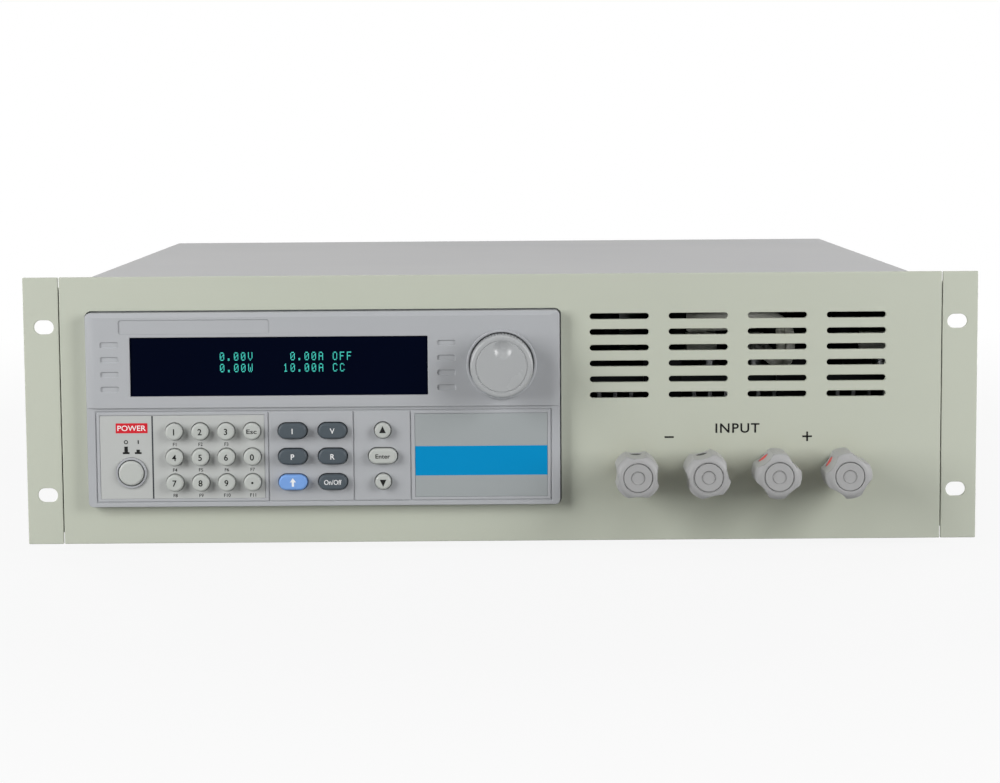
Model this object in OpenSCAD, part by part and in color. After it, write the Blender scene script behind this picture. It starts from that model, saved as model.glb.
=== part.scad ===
// A rack mounting DC electronic load, in millimetres.
// +X is to the right, +Y to the rear and +Z up. The origin is on the ground, under the middle of the box
// that holds the whole instrument. The modules draw in the panel frame: x = 0 in the middle,
// y = 0 on the front panel's face and z = 0 at the panel's lower edge.

/* [Rack panel] */
// Width over both rack ears
rack_w = 482.6; // [476:0.1:496]
// Height of the front panel and of the ears
panel_h = 136; // [134:1:170]
// Thickness of the front panel
panel_t = 3; // [2:0.5:4]
// Thickness of the ear brackets
ear_t = 2; // [1.5:0.5:3]
// Length of the ear's leg along the chassis side
ear_leg = 42; // [34:1:70]
// Seam between the panel's edge and each ear
seam = 0.5; // [0.2:0.1:1]
// Distance between the rack slots across the panel
rack_slot_x = 462; // [460:0.1:466]
// Distance between the rack slots up the panel
rack_slot_z = 85.7; // [60:0.1:100]
// Length of a rack slot
rack_slot_len = 10; // [8:0.5:12]
// Height of a rack slot
rack_slot_w = 7.2; // [6:0.1:8]

/* [Chassis] */
// Width over the chassis sides
body_w = 447; // [440:1:452]
// Depth from the panel's face to the rear of the cover
body_d = 485; // [450:1:600]
// Step from the panel's upper and lower edges to the chassis
body_margin = 5.5; // [4:0.5:7]
// Thickness of the folded sheet
sheet_t = 1.5; // [1:0.1:2]
// Outer radius of the cover's folds
bend_r = 2.5; // [2.2:0.1:4]
// Height of the tray's front and rear flanges
flange_h = 9; // [6:0.5:10]
// Height of the tray's side flanges
side_flange_h = 30; // [26:1:40]
// Length of the rear panel's side flanges
rear_flange = 20; // [16:1:30]
// Height of the rubber feet
foot_h = 9.5; // [8:0.5:20]
// Diameter of the rubber feet
foot_d = 22; // [18:1:30]
// Distance of the feet from the chassis sides and ends
foot_inset = 45; // [30:1:60]

/* [Fasteners] */
// Diameter of the chassis screws
screw_d = 3; // [2.5:0.1:4]
// Diameter of the screw heads
screw_head_d = 6; // [5:0.1:7]
// Height of the screw heads
screw_head_h = 2; // [1.5:0.1:3]
// Thread length of the chassis screws
screw_len = 5; // [4:0.5:6]
// Clearance between pieces that fit together
fit_gap = 0.15; // [0.1:0.05:0.3]

/* [Control bezel] */
// Width of the bezel
bezel_w = 239.2; // [236:0.2:246]
// Height of the bezel
bezel_h = 98.6; // [97:0.2:102]
// Bezel's left edge from the panel's left edge
bezel_left = 13.5; // [12:0.5:16]
// Middle of the bezel above the panel's middle
bezel_rise = 0.8; // [-2:0.2:3]
// Gap round the bezel in the panel's cut-out
bezel_gap = 0.8; // [0.3:0.1:1.2]
// Wall thickness of the moulding
bezel_wall = 3; // [2.5:0.1:4]
// Corner radius of the bezel
bezel_r = 2.5; // [1:0.5:4]
// Height of the bezel's lower field above the panel's face
rim_proud = 5; // [4:0.5:8]
// Rise of the upper field above the lower one
upper_rise = 1.2; // [1:0.1:2.5]
// Width of the upper field's side slopes
upper_slope = 5; // [3:0.5:6]
// Width of the upper field's top slope
upper_top_slope = 2.3; // [1.5:0.1:4]
// Height of the lower field
lower_h = 50.5; // [49.5:0.25:51.5]
// Overlap of the bezel's lip behind the panel
lip = 3; // [2:0.5:3.5]
// Thickness of the bezel's lip
lip_t = 2.5; // [2:0.1:3]
// Width of the moulded grooves
groove_w = 0.7; // [0.4:0.1:1]
// Depth of the moulded grooves
groove_depth = 0.6; // [0.3:0.1:1]
// Thickness of the printed inlays
inlay_t = 0.4; // [0.3:0.1:0.8]
// Step from the bezel down to the inlays
inlay_step = 0.2; // [0.1:0.1:0.4]

/* [Display] */
// Height of the display window
window_h = 29.8; // [26:0.2:32]
// Window's left edge from the bezel's left edge
window_left = 22.45; // [21:0.05:23]
// Window's right edge from the bezel's right edge
window_right = 66.55; // [64:0.05:70]
// Window's upper edge from the bezel's upper edge
window_drop = 12.4; // [12:0.05:14]
// Step from the bezel down to the window
window_step = 0.8; // [0.3:0.1:1.5]
// Thickness of the display's glass
glass_t = 7; // [5:0.5:9]
// Width of the blind soft key pockets
soft_w = 9; // [7:0.5:10]
// Height of the blind soft key pockets
soft_h = 2.7; // [2:0.1:4]
// Distance between the soft key pockets
soft_pitch = 7.5; // [6:0.1:8]
// Middle of the left pockets from the window's edge
soft_left = 10.25; // [9:0.05:12]
// Middle of the right pockets from the window's edge
soft_right = 9.45; // [8:0.05:11]
// Depth of the shallow pockets in the upper field
pocket_depth = 0.6; // [0.3:0.1:1]
// Width of the bare badge pocket
badge_w = 75.7; // [60:0.1:90]
// Height of the bare badge pocket
badge_h = 7; // [5:0.1:8]

/* [Keys] */
// Diameter of the round keys
key_d = 8.6; // [7:0.1:9]
// Width of the oval keys
oval_w = 14.4; // [12:0.1:15]
// Height of the oval keys
oval_h = 7.8; // [7:0.1:9]
// Diameter of the arrow keys
arrow_d = 8; // [7:0.1:9]
// Gap round each key
key_gap = 0.4; // [0.2:0.05:0.5]
// Height of the keys above the lower field
key_proud = 3.2; // [2:0.1:5]
// Travel of a key
key_travel = 1; // [0.5:0.1:1.5]
// Distance between the key columns
key_pitch_x = 13.1; // [12.8:0.1:13.4]
// Distance between the key rows
key_pitch_z = 13.05; // [12.8:0.05:13.4]
// First key column from the bezel's left edge
key_left = 44.1; // [43.5:0.1:44.5]
// First key row from the bezel's lower edge
key_bottom = 12.35; // [12:0.05:13]
// First oval column from the bezel's left edge
oval_left = 103.9; // [103.5:0.1:104.5]
// Distance between the oval columns
oval_pitch = 20.2; // [19.5:0.1:20.6]
// Arrow key column from the bezel's left edge
nav_left = 149.5; // [149:0.1:150]

/* [Power button] */
// Diameter of the power button
power_d = 12.6; // [10:0.1:13.5]
// Diameter of the collar round the power button
power_ring_d = 15.6; // [15:0.1:17]
// Height of the collar above the lower field
power_ring_proud = 0.8; // [0.4:0.1:1.5]
// Height of the pushed button above the lower field
power_proud = 2; // [1:0.1:4]
// Travel of the power button
power_travel = 3.5; // [2:0.1:5]
// Power button from the bezel's left edge
power_left = 22; // [21:0.1:23]
// Power button from the bezel's lower edge
power_bottom = 17.5; // [16:0.05:19]

/* [Dial] */
// Diameter of the dial
dial_d = 31.6; // [28:0.1:32.5]
// Gap round the dial in its collar
dial_gap = 0.6; // [0.3:0.1:0.8]
// Outer diameter of the collar round the dial
dial_ring_d = 35.2; // [34.8:0.1:37]
// Height of the collar above the upper field
dial_ring_proud = 1.5; // [0.8:0.1:2.5]
// Height of the dial above the upper field
dial_proud = 14.5; // [8:0.1:18]
// Dial from the bezel's right edge
dial_right = 29.4; // [27:0.1:31]
// Dial from the bezel's upper edge
dial_drop = 27.05; // [26:0.05:28]
// Diameter of the finger dimple
dimple_d = 9.4; // [8:0.1:10]
// Dimple from the dial's axis
dimple_r = 8.8; // [7:0.1:9]
// Angle of the dimple at rest, from the right
dimple_angle = 86; // [0:1:359]
// Diameter of the dial's spindle
spindle_d = 6; // [5:0.1:6.5]
// Running clearance of a shaft in its bore
run_gap = 0.05; // [0.03:0.01:0.1]

/* [Vents] */
// Gap from the bezel to the vents
vent_gap = 15.3; // [12:0.1:20]
// Gap from the vents to the panel's right edge
vent_right = 28; // [24:0.5:34]
// Bridge between the vent columns
vent_bridge = 10; // [6:0.5:14]
// Middle of the vents above the panel's middle
vent_rise = 26.4; // [22:0.1:28]
// Columns of vent slots
vent_cols = 4; // [2:1:4]
// Rows of vent slots
vent_rows = 6; // [3:1:6]
// Distance between the vent rows
vent_pitch_z = 8; // [6:0.1:8.5]
// Height of a vent slot
vent_h = 3; // [2:0.1:4]

/* [Terminals] */
// Terminals below the panel's middle
term_drop = 31.4; // [28:0.1:34]
// Distance between the terminals
term_pitch = 35; // [32:0.5:38]
// Diameter of the terminal studs
stud_d = 8; // [6:0.5:8]
// Diameter of the insulating bushings
bush_d = 16; // [15:0.5:18]
// Height of the bushings before the panel
bush_h = 5; // [4:0.5:8]
// Thickness of the stud's seat
seat_t = 3; // [2:0.5:4]
// Diameter of the clamp washers
washer_d = 17; // [15:0.5:20]
// Thickness of the clamp washers
washer_t = 2; // [1.5:0.1:3]
// Radius of the knob over its lobes
knob_r = 11.5; // [11:0.1:12]
// Radius of the knob in its hollows
knob_waist = 9.6; // [9.2:0.1:9.9]
// Length of the knobs
knob_len = 25; // [20:0.5:28]
// Diameter of the knob's front cap
cap_d = 14; // [12:0.1:14.4]
// Diameter of the coloured dot in the knob's side
dot_d = 6; // [5:0.1:7.5]
// Forward travel of a knob that is unscrewed
knob_travel = 7.5; // [4:0.5:8]

/* [Cooling] */
// Size of the square fans
fan_size = 92; // [80:1:94]
// Depth of the fans
fan_depth = 25; // [20:1:32]
// Gap between the two fans
fan_gap = 1; // [0.5:0.5:3]
// Middle of the fans, right of the panel's middle
fan_x = 124; // [122:0.5:125]
// Diameter of the rotors
rotor_d = 86; // [70:0.5:87]
// Diameter of the rotor hubs
hub_d = 38; // [30:1:44]
// Blades of a rotor
blade_n = 7; // [5:1:9]
// Pitch angle of the blades
blade_pitch = 38; // [25:1:45]
// Diameter of the rotor's shaft
shaft_d = 4; // [3:0.1:5]
// Front of the heat sinks behind the panel's face
sink_front = 62; // [56:1:90]
// Width of a heat sink
sink_w = 86; // [78:1:92]
// Height of a heat sink
sink_h = 72; // [60:1:76]
// Fins of a heat sink
fin_n = 11; // [7:1:13]
// Thickness of a fin
fin_t = 2; // [1.5:0.1:3]
// Thickness of a heat sink's base
sink_base_t = 8; // [6:0.5:10]

/* [Boards and mains] */
// Thickness of the circuit boards
board_t = 1.6; // [1:0.1:2.4]
// Height of the power boards above the heat sinks
power_board_lift = 8; // [7:0.5:12]
// Depth of the control board
control_d = 140; // [110:1:150]
// Height of the tray's board posts
post_h = 10; // [6:0.5:15]
// Outer diameter of the ring transformer
ring_d = 110; // [90:1:120]
// Height of the ring transformer
ring_h = 48; // [36:1:60]
// Middle of the mains inlet, left of the panel's middle
inlet_x = 150; // [130:1:180]
// Travel of the fuse drawer
drawer_travel = 18; // [12:1:20]
// Middle of the serial port, left of the panel's middle
port_x = 70; // [50:1:90]
// Reach of the serial port behind the rear panel
port_proud = 6; // [5:0.5:8]

/* [Hidden] */
$fn = 48;
// How far a cut runs past the face it starts from
over = 1;
panel_w = body_w - 2 * seam;
mid_z = panel_h / 2;
body_z0 = body_margin;
body_z1 = panel_h - body_margin;
floor_z = body_z0 + sheet_t;
in_w = body_w - 2 * sheet_t;
rear_in = body_d - sheet_t;

// Bezel levels: y of the lower field, of the upper field and of the backs of both walls
rim_y = -rim_proud;
top_y = rim_y - upper_rise;
low_back = rim_y + bezel_wall;
up_back = top_y + bezel_wall;
bz_l = bezel_left - panel_w / 2;
bz_r = bz_l + bezel_w;
bz_m = bz_l + bezel_w / 2;
bz_c = mid_z + bezel_rise;
bz_b = bz_c - bezel_h / 2;
bz_t = bz_c + bezel_h / 2;
split_z = bz_b + lower_h;
inlay_floor = rim_y + inlay_step + inlay_t;
key_x0 = bz_l + key_left;
key_z0 = bz_b + key_bottom;
oval_x0 = bz_l + oval_left;
nav_x = bz_l + nav_left;
power_x = bz_l + power_left;
power_z = bz_b + power_bottom;
dial_x = bz_r - dial_right;
dial_z = bz_t - dial_drop;
window_w = bezel_w - window_left - window_right;
win_x = bz_l + window_left + window_w / 2;
win_z = bz_t - window_drop - window_h / 2;

// Lower field: edges of the inlays, of the grooves round them and of the groove in the key field
field_edge = 4.2;
frame_w = 2.1;
field_foot = 2;
field_head = 1.7;
keypad_edge = 91.7;
middle_edge = 134.7;
side_edge = 163.6;
keypad_r = bz_l + keypad_edge;
middle_x = bz_l + middle_edge;
side_l = bz_l + side_edge;
field_l = bz_l + field_edge;
field_r = bz_r - field_edge;
field_b = bz_b + field_foot;
field_t = split_z - field_head;

// Overlap of solids that are joined, and gap round the boards
join = 0.5;
board_gap = 1.5;

// Key stack behind the lower wall
flange_edge = 1.25;
flange_t = 1;
rest_gap = 0.2;
push_gap = 0.3;
stem_d = 4;
switch_h = 3.7;
switch_w = 6;
plunger_h = 0.6;
plunger_d = 3.4;
key_space = 11;
key_board_y = low_back + key_space;
stem_end = key_board_y - switch_h - key_travel - push_gap;
boss_d = 5;
boss_gap = 0.5;
board_edge = 3;
power_sw = 18;
power_sw_d = 24;
power_hold = 4.5;
power_clear = 2;
power_depth = power_travel + power_hold;

// Window and display behind the upper wall
win_flange = 2;
win_flange_t = 1.5;
win_seat = up_back + fit_gap;
glass_y = win_seat + win_flange_t + rest_gap;
disp_board_y = glass_y + glass_t;
disp_edge = 9;
disp_boss = 5.6;
disp_over = 4;
glass_r = 1;
soft_r = 0.8;
badge_r = 1.2;
badge_left = 17.1;
badge_drop = 7.1;

// Dial and encoder
dial_pocket = 1.5;
dial_lift = 1;
dial_edge = 1.6;
dial_face_d = 25.7;
collar_edge = 0.4;
dial_under_d = 14;
dial_web = 3;
encoder_w = 14;
encoder_d = 7;
bush_out_d = 7.4;
encoder_reach = 3;
encoder_floor = 1;

// Vents between the bezel and the panel's right edge
vent_x0 = bz_r + vent_gap;
vent_x1 = panel_w / 2 - vent_right;
vent_pitch_x = (vent_x1 - vent_x0 + vent_bridge) / vent_cols;
vent_len = vent_pitch_x - vent_bridge;
vent_mid = (vent_x0 + vent_x1) / 2;

// Terminals, under the middle of the vents
terms = [for (i = [0:3]) vent_mid + (i - 1.5) * term_pitch];
dot_angles = [91, 103, 130, 147];
term_z = mid_z - term_drop;
neck_d = 13;
neck_back = 3;
nut_d = 15;
nut_t = 6;
seat_d = 15;
bush_edge = 0.8;
stud_over = 3;
bar_t = 3;
bar_w = 20;
washer_y = -bush_h - seat_t - rest_gap;
knob_y = washer_y - washer_t - rest_gap;
knob_front = knob_y - knob_len;
thread_hold = 10;
stud_tip = knob_y - knob_travel - thread_hold;
bar_y = panel_t + neck_back + nut_t;
scallop_r = 16;

// Cooling
fans = [for (s = [-1, 1]) fan_x + s * (fan_size + fan_gap) / 2];
fan_y = rear_in - fan_depth;
fan_z = mid_z;
fan_hole_in = 4.75;
fan_hole = fan_size / 2 - fan_hole_in;
fan_r = 4;
shaft_in = 5;
tunnel_gap = 1;
tunnel_d = rotor_d + 2 * tunnel_gap;
stator_t = 5;
strut_w = 4;
strut_step = 1;
rotor_gap = 0.6;
plenum = 26;
sink_in = 10;
sink_len = fan_y - sink_front - plenum;
sink_top = floor_z + sink_h;
power_board_z = sink_top + power_board_lift;
power_board_w = sink_w - board_edge * 2;
power_board_d = sink_len - 2 * sink_in;
riser_y = sink_front - sink_in;
bar_reach = 28;
fin_lift = 4;
sink_foot_w = 10;
sink_foot_t = 3;

// Rear
inlet_z = mid_z;
inlet_w = 28;
inlet_h = 48;
inlet_lip = 3;
inlet_deep = 30;
socket_rise = 9;
socket_w = 24;
socket_h = 16;
socket_deep = 17;
socket_cut = 4.5;
pin_back = 6;
pin_w = 2;
pin_h = 4;
pins = [[-7, -2], [0, 2], [7, -2]];
inlet_side = 2.5;
inlet_ear = 4;
inlet_r = 3;
drawer_w = 23;
drawer_h = 11;
drawer_hold = 6;
drawer_deep = drawer_travel + drawer_hold;
drawer_drop = 13;
drawer_wall = 2;
drawer_proud = 0.6;
drawer_front = 4;
grip_w = 9;
grip_in = 1;
port_z = mid_z;
overall_d = -knob_front + body_d + port_proud;
face_y = -knob_front - overall_d / 2;
panel_z = foot_h - body_margin;

DIGITS = [
    ["key_7", 0, 0], ["key_8", 1, 0], ["key_9", 2, 0], ["key_point", 3, 0],
    ["key_4", 0, 1], ["key_5", 1, 1], ["key_6", 2, 1], ["key_0", 3, 1],
    ["key_1", 0, 2], ["key_2", 1, 2], ["key_3", 2, 2], ["key_escape", 3, 2]
];
OVALS = [
    ["key_shift", 0, 0], ["key_on_off", 1, 0],
    ["key_power_set", 0, 1], ["key_resistance_set", 1, 1],
    ["key_current_set", 0, 2], ["key_voltage_set", 1, 2]
];
ARROWS = [["key_down", 0], ["key_up", 2]];
KNOBS = ["terminal_knob_1", "terminal_knob_2", "terminal_knob_3", "terminal_knob_4"];
WASHERS = ["clamp_washer_1", "clamp_washer_2", "clamp_washer_3", "clamp_washer_4"];
ROTORS = ["fan_rotor_left", "fan_rotor_right"];

panel_paint = [0.72, 0.74, 0.69];
cover_paint = [0.73, 0.73, 0.73];
moulding = [0.71, 0.71, 0.73];
pale_key = [0.79, 0.80, 0.78];
slate = [0.31, 0.35, 0.38];
key_blue = [0.50, 0.65, 0.87];
steel = [0.75, 0.76, 0.77];
copper = [0.80, 0.55, 0.38];
brass = [0.82, 0.70, 0.40];
alloy = [0.80, 0.81, 0.82];
board_green = [0.10, 0.36, 0.20];
black = [0.10, 0.10, 0.11];

// Shared shapes

// Draws its children in the panel frame
module in_panel_frame() {
    translate([0, face_y, panel_z]) children();
}

// Extrudes a shape drawn in x and z from y0 to the rear by t
module upright(y0, t) {
    translate([0, y0 + t, 0]) rotate([90, 0, 0]) linear_extrude(t) children();
}

// Cylinder along y, from y0 to the rear
module rod(x, y0, z, h, d) {
    translate([x, y0, z]) rotate([-90, 0, 0]) cylinder(d = d, h = h);
}

// Revolves a half profile about y, with its height towards the front
module turned(x, y0, z) {
    translate([x, y0, z]) rotate([90, 0, 0]) rotate_extrude() children();
}

module rounded(w, h, r) {
    square([w, h - 2 * r], center = true);
    square([w - 2 * r, h], center = true);
    for (sx = [-1, 1], sz = [-1, 1]) translate([sx * (w / 2 - r), sz * (h / 2 - r)]) circle(r);
}

module slot(len, h) {
    square([len - h, h], center = true);
    for (s = [-1, 1]) translate([s * (len - h) / 2, 0]) circle(d = h);
}

module span(x0, z0, x1, z1) {
    translate([x0, z0]) square([x1 - x0, z1 - z0]);
}

// Half profile of a button with a rounded front edge
module cap_profile(r, h, edge) {
    square([r, h - edge]);
    square([r - edge, h]);
    translate([r - edge, h - edge]) circle(edge);
}

// Pan head screw: thread along z from 0 up, head below
module pan_screw(len) {
    cylinder(d = screw_d, h = len);
    translate([0, 0, -screw_head_h]) cylinder(d = screw_head_d, h = screw_head_h);
}

// Countersunk head, wide end at z = 0
module sunk_cone(grow) {
    cylinder(d1 = screw_head_d + 2 * grow, d2 = screw_d + 2 * grow, h = (screw_head_d - screw_d) / 2);
}

// Chassis

module vent_slots() {
    for (c = [0:vent_cols - 1], r = [0:vent_rows - 1])
        translate([vent_mid + (c - (vent_cols - 1) / 2) * vent_pitch_x,
                   mid_z + vent_rise + (r - (vent_rows - 1) / 2) * vent_pitch_z])
            slot(vent_len, vent_h);
}

module front_panel() color(panel_paint) in_panel_frame()
    upright(0, panel_t) difference() {
        span(-panel_w / 2, 0, panel_w / 2, panel_h);
        translate([bz_m, bz_c])
            rounded(bezel_w + 2 * bezel_gap, bezel_h + 2 * bezel_gap, bezel_r + bezel_gap);
        vent_slots();
        for (x = terms) translate([x, term_z]) circle(d = neck_d + 2 * fit_gap);
    }

// Screw places on each ear's leg: along y, and up z
low_screw = 14;
ear_screw_y = ear_leg - low_screw;
ear_screws_z = [floor_z + low_screw, mid_z, body_z1 - low_screw];

module rack_ear() {
    difference() {
        union() {
            translate([body_w / 2, 0, 0]) cube([rack_w / 2 - body_w / 2, ear_t, panel_h]);
            translate([body_w / 2, 0, body_z0]) cube([ear_t, ear_leg, body_z1 - body_z0]);
        }
        upright(-over, ear_t + 2 * over) for (s = [-1, 1])
            translate([rack_slot_x / 2, mid_z + s * rack_slot_z / 2]) slot(rack_slot_len, rack_slot_w);
        for (z = ear_screws_z) translate([body_w / 2 + ear_t, ear_screw_y, z]) rotate([0, -90, 0]) {
            translate([0, 0, -over]) cylinder(d = screw_d + 2 * fit_gap, h = ear_t + 2 * over);
            translate([0, 0, -0.01]) sunk_cone(fit_gap);
        }
    }
}

module rack_ears() color(panel_paint) in_panel_frame() {
    rack_ear();
    mirror([1, 0, 0]) rack_ear();
}

// Screw places on the sides of the cover: low down into the tray, and at the rear flange
side_screw_z = floor_z + low_screw;
high_screw = 25;
mid_screw = 10;
side_screws = concat(
    [for (k = [1:3]) [ear_leg + k * (body_d - ear_leg - rear_flange) / 4, side_screw_z]],
    [[body_d - rear_flange / 2, body_z1 - high_screw], [body_d - rear_flange / 2, mid_z - mid_screw]]
);

// Holes for the side screws and for the ear screws, through both sides
module side_holes() {
    for (s = side_screws) translate([-body_w / 2 - over, s[0], s[1]]) rotate([0, 90, 0])
        cylinder(d = screw_d + 2 * fit_gap, h = body_w + 2 * over);
    for (z = ear_screws_z) translate([-body_w / 2 - over, ear_screw_y, z]) rotate([0, 90, 0])
        cylinder(d = screw_d + 2 * fit_gap, h = body_w + 2 * over);
}

feet_at = [for (sx = [-1, 1], y = [foot_inset, body_d - foot_inset]) [sx * (body_w / 2 - foot_inset), y]];
control_gap = 15;
control_x = -in_w / 2 + sheet_t + control_gap;
control_w = fans[0] - fan_size / 2 - 2 * control_gap - control_x;
control_y = 90;
post_in = 6;
posts_at = [for (x = [post_in, control_w - post_in], y = [post_in, control_d - post_in])
    [control_x + x, control_y + y]];
post_d = 7;
post_hole = 6;
rear_screw_in = 30;
rear_screw_z = body_z0 + (flange_h + sheet_t) / 2;
rear_screws_x = [-in_w / 2 + rear_screw_in, 2 * rear_screw_in - port_x, in_w / 2 - rear_screw_in];
frame_side = 6;

// The tray's front flange ends below the bezel's lip
lip_clear = 1;
front_flange_z = min(body_z0 + flange_h, bz_b - bezel_gap - lip - lip_clear);

// Outline of the space inside the folded cover
module cover_inside() {
    span(-in_w / 2, body_z0, in_w / 2, body_z1 - bend_r);
    span(-body_w / 2 + bend_r, body_z0, body_w / 2 - bend_r, body_z1 - sheet_t);
    for (s = [-1, 1]) translate([s * (body_w / 2 - bend_r), body_z1 - bend_r]) circle(bend_r - sheet_t);
}

module base_tray() color(steel) in_panel_frame() difference() {
    union() {
        translate([-in_w / 2, panel_t, body_z0]) cube([in_w, rear_in - panel_t, sheet_t]);
        for (s = [0, 1]) mirror([s, 0, 0])
            translate([in_w / 2 - sheet_t, panel_t, body_z0])
                cube([sheet_t, rear_in - panel_t, side_flange_h]);
        upright(panel_t, sheet_t) difference() {
            cover_inside();
            span(-in_w / 2 + frame_side, front_flange_z, in_w / 2 - frame_side, panel_h);
        }
        translate([-in_w / 2, rear_in - sheet_t, body_z0]) cube([in_w, sheet_t, flange_h]);
        for (p = posts_at) translate([p[0], p[1], body_z0]) cylinder(d = post_d, h = sheet_t + post_h);
    }
    side_holes();
    for (f = feet_at) translate([f[0], f[1], body_z0 - over])
        cylinder(d = screw_d + 2 * fit_gap, h = sheet_t + 2 * over);
    for (x = rear_screws_x)
        rod(x, rear_in - sheet_t - over, rear_screw_z, sheet_t + 2 * over, screw_d + 2 * fit_gap);
    for (p = posts_at) translate([p[0], p[1], floor_z + post_h - post_hole])
        cylinder(d = screw_d + 2 * run_gap, h = post_hole + over);
}

module top_cover() color(cover_paint) in_panel_frame() difference() {
    upright(panel_t, body_d - panel_t) difference() {
        union() {
            span(-body_w / 2, body_z0, body_w / 2, body_z1 - bend_r);
            span(-body_w / 2 + bend_r, body_z0, body_w / 2 - bend_r, body_z1);
            for (s = [-1, 1]) translate([s * (body_w / 2 - bend_r), body_z1 - bend_r]) circle(bend_r);
        }
        cover_inside();
        span(-in_w / 2, body_z0 - over, in_w / 2, body_z0 + over);
    }
    side_holes();
}

// Grille of ring slots with four ribs, for one fan
grille_pitch = 6;
grille_rib = 2;
module grille() difference() {
    for (r = [hub_d / 2 : grille_pitch : tunnel_d / 2 - grille_pitch / 2]) difference() {
        circle(r + grille_pitch - grille_rib);
        circle(r);
    }
    for (a = [0, 90]) rotate(a + 45) square([fan_size, 2 * grille_rib], center = true);
}

fan_holes = [for (x = fans, sx = [-1, 1], sz = [-1, 1]) [x + sx * fan_hole, fan_z + sz * fan_hole]];
inlet_screw = 33;
port_w = 30.8;
port_h = 12.5;
shell_w = 17;
shell_h = 8.4;
shell_t = 0.8;
port_body = 2;
port_cut = 3;
port_t = 1;
port_deep = 10;
flange_gap = 1;

module rear_panel() color(cover_paint) in_panel_frame() difference() {
    union() {
        upright(rear_in, sheet_t) cover_inside();
        for (s = [0, 1]) mirror([s, 0, 0])
            translate([in_w / 2 - sheet_t, body_d - rear_flange, body_z0 + side_flange_h + flange_gap])
                cube([sheet_t, rear_flange - sheet_t / 2,
                      body_z1 - bend_r - body_z0 - side_flange_h - flange_gap]);
    }
    upright(rear_in - over, sheet_t + 2 * over) {
        for (x = fans) translate([x, fan_z]) grille();
        for (h = fan_holes) translate(h) circle(d = screw_d + 2 * fit_gap);
        for (x = rear_screws_x) translate([x, rear_screw_z]) circle(d = screw_d + 2 * fit_gap);
        translate([-inlet_x, inlet_z]) square([inlet_w + 2 * fit_gap, inlet_h + 2 * fit_gap], center = true);
        for (s = [-1, 1]) translate([-inlet_x, inlet_z + s * inlet_screw]) circle(d = screw_d + 2 * fit_gap);
        translate([-port_x, port_z]) square([shell_w + port_cut, shell_h + port_cut], center = true);
    }
    side_holes();
}

foot_screw_up = 4;
foot_taper = 1.5;
head_gap = 0.6;
fan_screw_len = 11;
module foot() rotate_extrude() difference() {
    polygon([[0, 0], [foot_d / 2 - foot_taper, 0], [foot_d / 2, foot_h], [0, foot_h]]);
    square([screw_d / 2 + fit_gap, foot_h]);
    square([screw_head_d / 2 + head_gap, foot_screw_up]);
}

module feet() color(black) in_panel_frame()
    for (f = feet_at) translate([f[0], f[1], body_z0 - foot_h]) foot();

module chassis_screws() color(steel) in_panel_frame() {
    for (s = [0, 1]) mirror([s, 0, 0]) {
        for (p = side_screws) translate([body_w / 2, p[0], p[1]]) rotate([0, -90, 0]) pan_screw(screw_len);
        for (z = ear_screws_z) translate([body_w / 2 + ear_t, ear_screw_y, z]) rotate([0, -90, 0]) {
            sunk_cone(0);
            cylinder(d = screw_d, h = screw_len + ear_t);
        }
    }
    for (f = feet_at) translate([f[0], f[1], body_z0 - foot_h + foot_screw_up]) {
        cylinder(d = screw_d, h = foot_h - foot_screw_up + screw_len);
        translate([0, 0, -screw_head_h]) cylinder(d = screw_head_d, h = screw_head_h);
    }
    for (x = rear_screws_x) translate([x, body_d, rear_screw_z]) rotate([90, 0, 0])
        pan_screw(screw_len);
    for (h = fan_holes) translate([h[0], body_d, h[1]]) rotate([90, 0, 0]) pan_screw(fan_screw_len);
    for (s = [-1, 1]) translate([-inlet_x, body_d + inlet_lip, inlet_z + s * inlet_screw]) rotate([90, 0, 0])
        pan_screw(screw_len + inlet_lip);
    for (p = posts_at) translate([p[0], p[1], floor_z + post_h + board_t])
        rotate([180, 0, 0]) pan_screw(screw_len);
}

// Control bezel and display

// Calls its children at each round key, each oval and each arrow key
module at_digits() for (k = DIGITS)
    translate([key_x0 + k[1] * key_pitch_x, key_z0 + k[2] * key_pitch_z]) children();
module at_ovals() for (k = OVALS)
    translate([oval_x0 + k[1] * oval_pitch, key_z0 + k[2] * key_pitch_z]) children();
module at_arrows() for (k = ARROWS)
    translate([nav_x, key_z0 + k[1] * key_pitch_z]) children();
enter_z = key_z0 + key_pitch_z;

module key_holes() {
    at_digits() circle(d = key_d + 2 * key_gap);
    at_ovals() slot(oval_w + 2 * key_gap, oval_h + 2 * key_gap);
    at_arrows() circle(d = arrow_d + 2 * key_gap);
    translate([nav_x, enter_z]) slot(oval_w + 2 * key_gap, oval_h + 2 * key_gap);
}

// Raised upper field with sloping sides and top
module upper_field() intersection() {
    translate([bz_m, 0, bz_c]) upright(top_y, upper_rise) rounded(bezel_w, bezel_h, bezel_r);
    translate([0, 0, split_z]) linear_extrude(bz_t - split_z)
        polygon([[bz_l, rim_y], [bz_l + upper_slope, top_y], [bz_r - upper_slope, top_y], [bz_r, rim_y]]);
    translate([bz_l, 0, 0]) rotate([90, 0, 90]) linear_extrude(bezel_w)
        polygon([[rim_y, split_z], [top_y, split_z], [top_y, bz_t - upper_top_slope], [rim_y, bz_t]]);
}

// Lines of the grooves round and across the lower field
module field_grooves() {
    difference() {
        span(field_l, field_b, field_r, field_t);
        span(field_l + groove_w, field_b + groove_w, field_r - groove_w, field_t - groove_w);
    }
    for (x = [keypad_r, middle_x, side_l])
        span(x - groove_w / 2, field_b, x + groove_w / 2, field_t);
}

module keypad_area(shrink)
    span(field_l + frame_w + shrink, field_b + frame_w + shrink, keypad_r - frame_w - shrink,
         field_t - frame_w - shrink);

module side_area(shrink)
    span(side_l + frame_w + shrink, field_b + frame_w + shrink, field_r - frame_w - shrink,
         field_t - frame_w - shrink);

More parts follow.
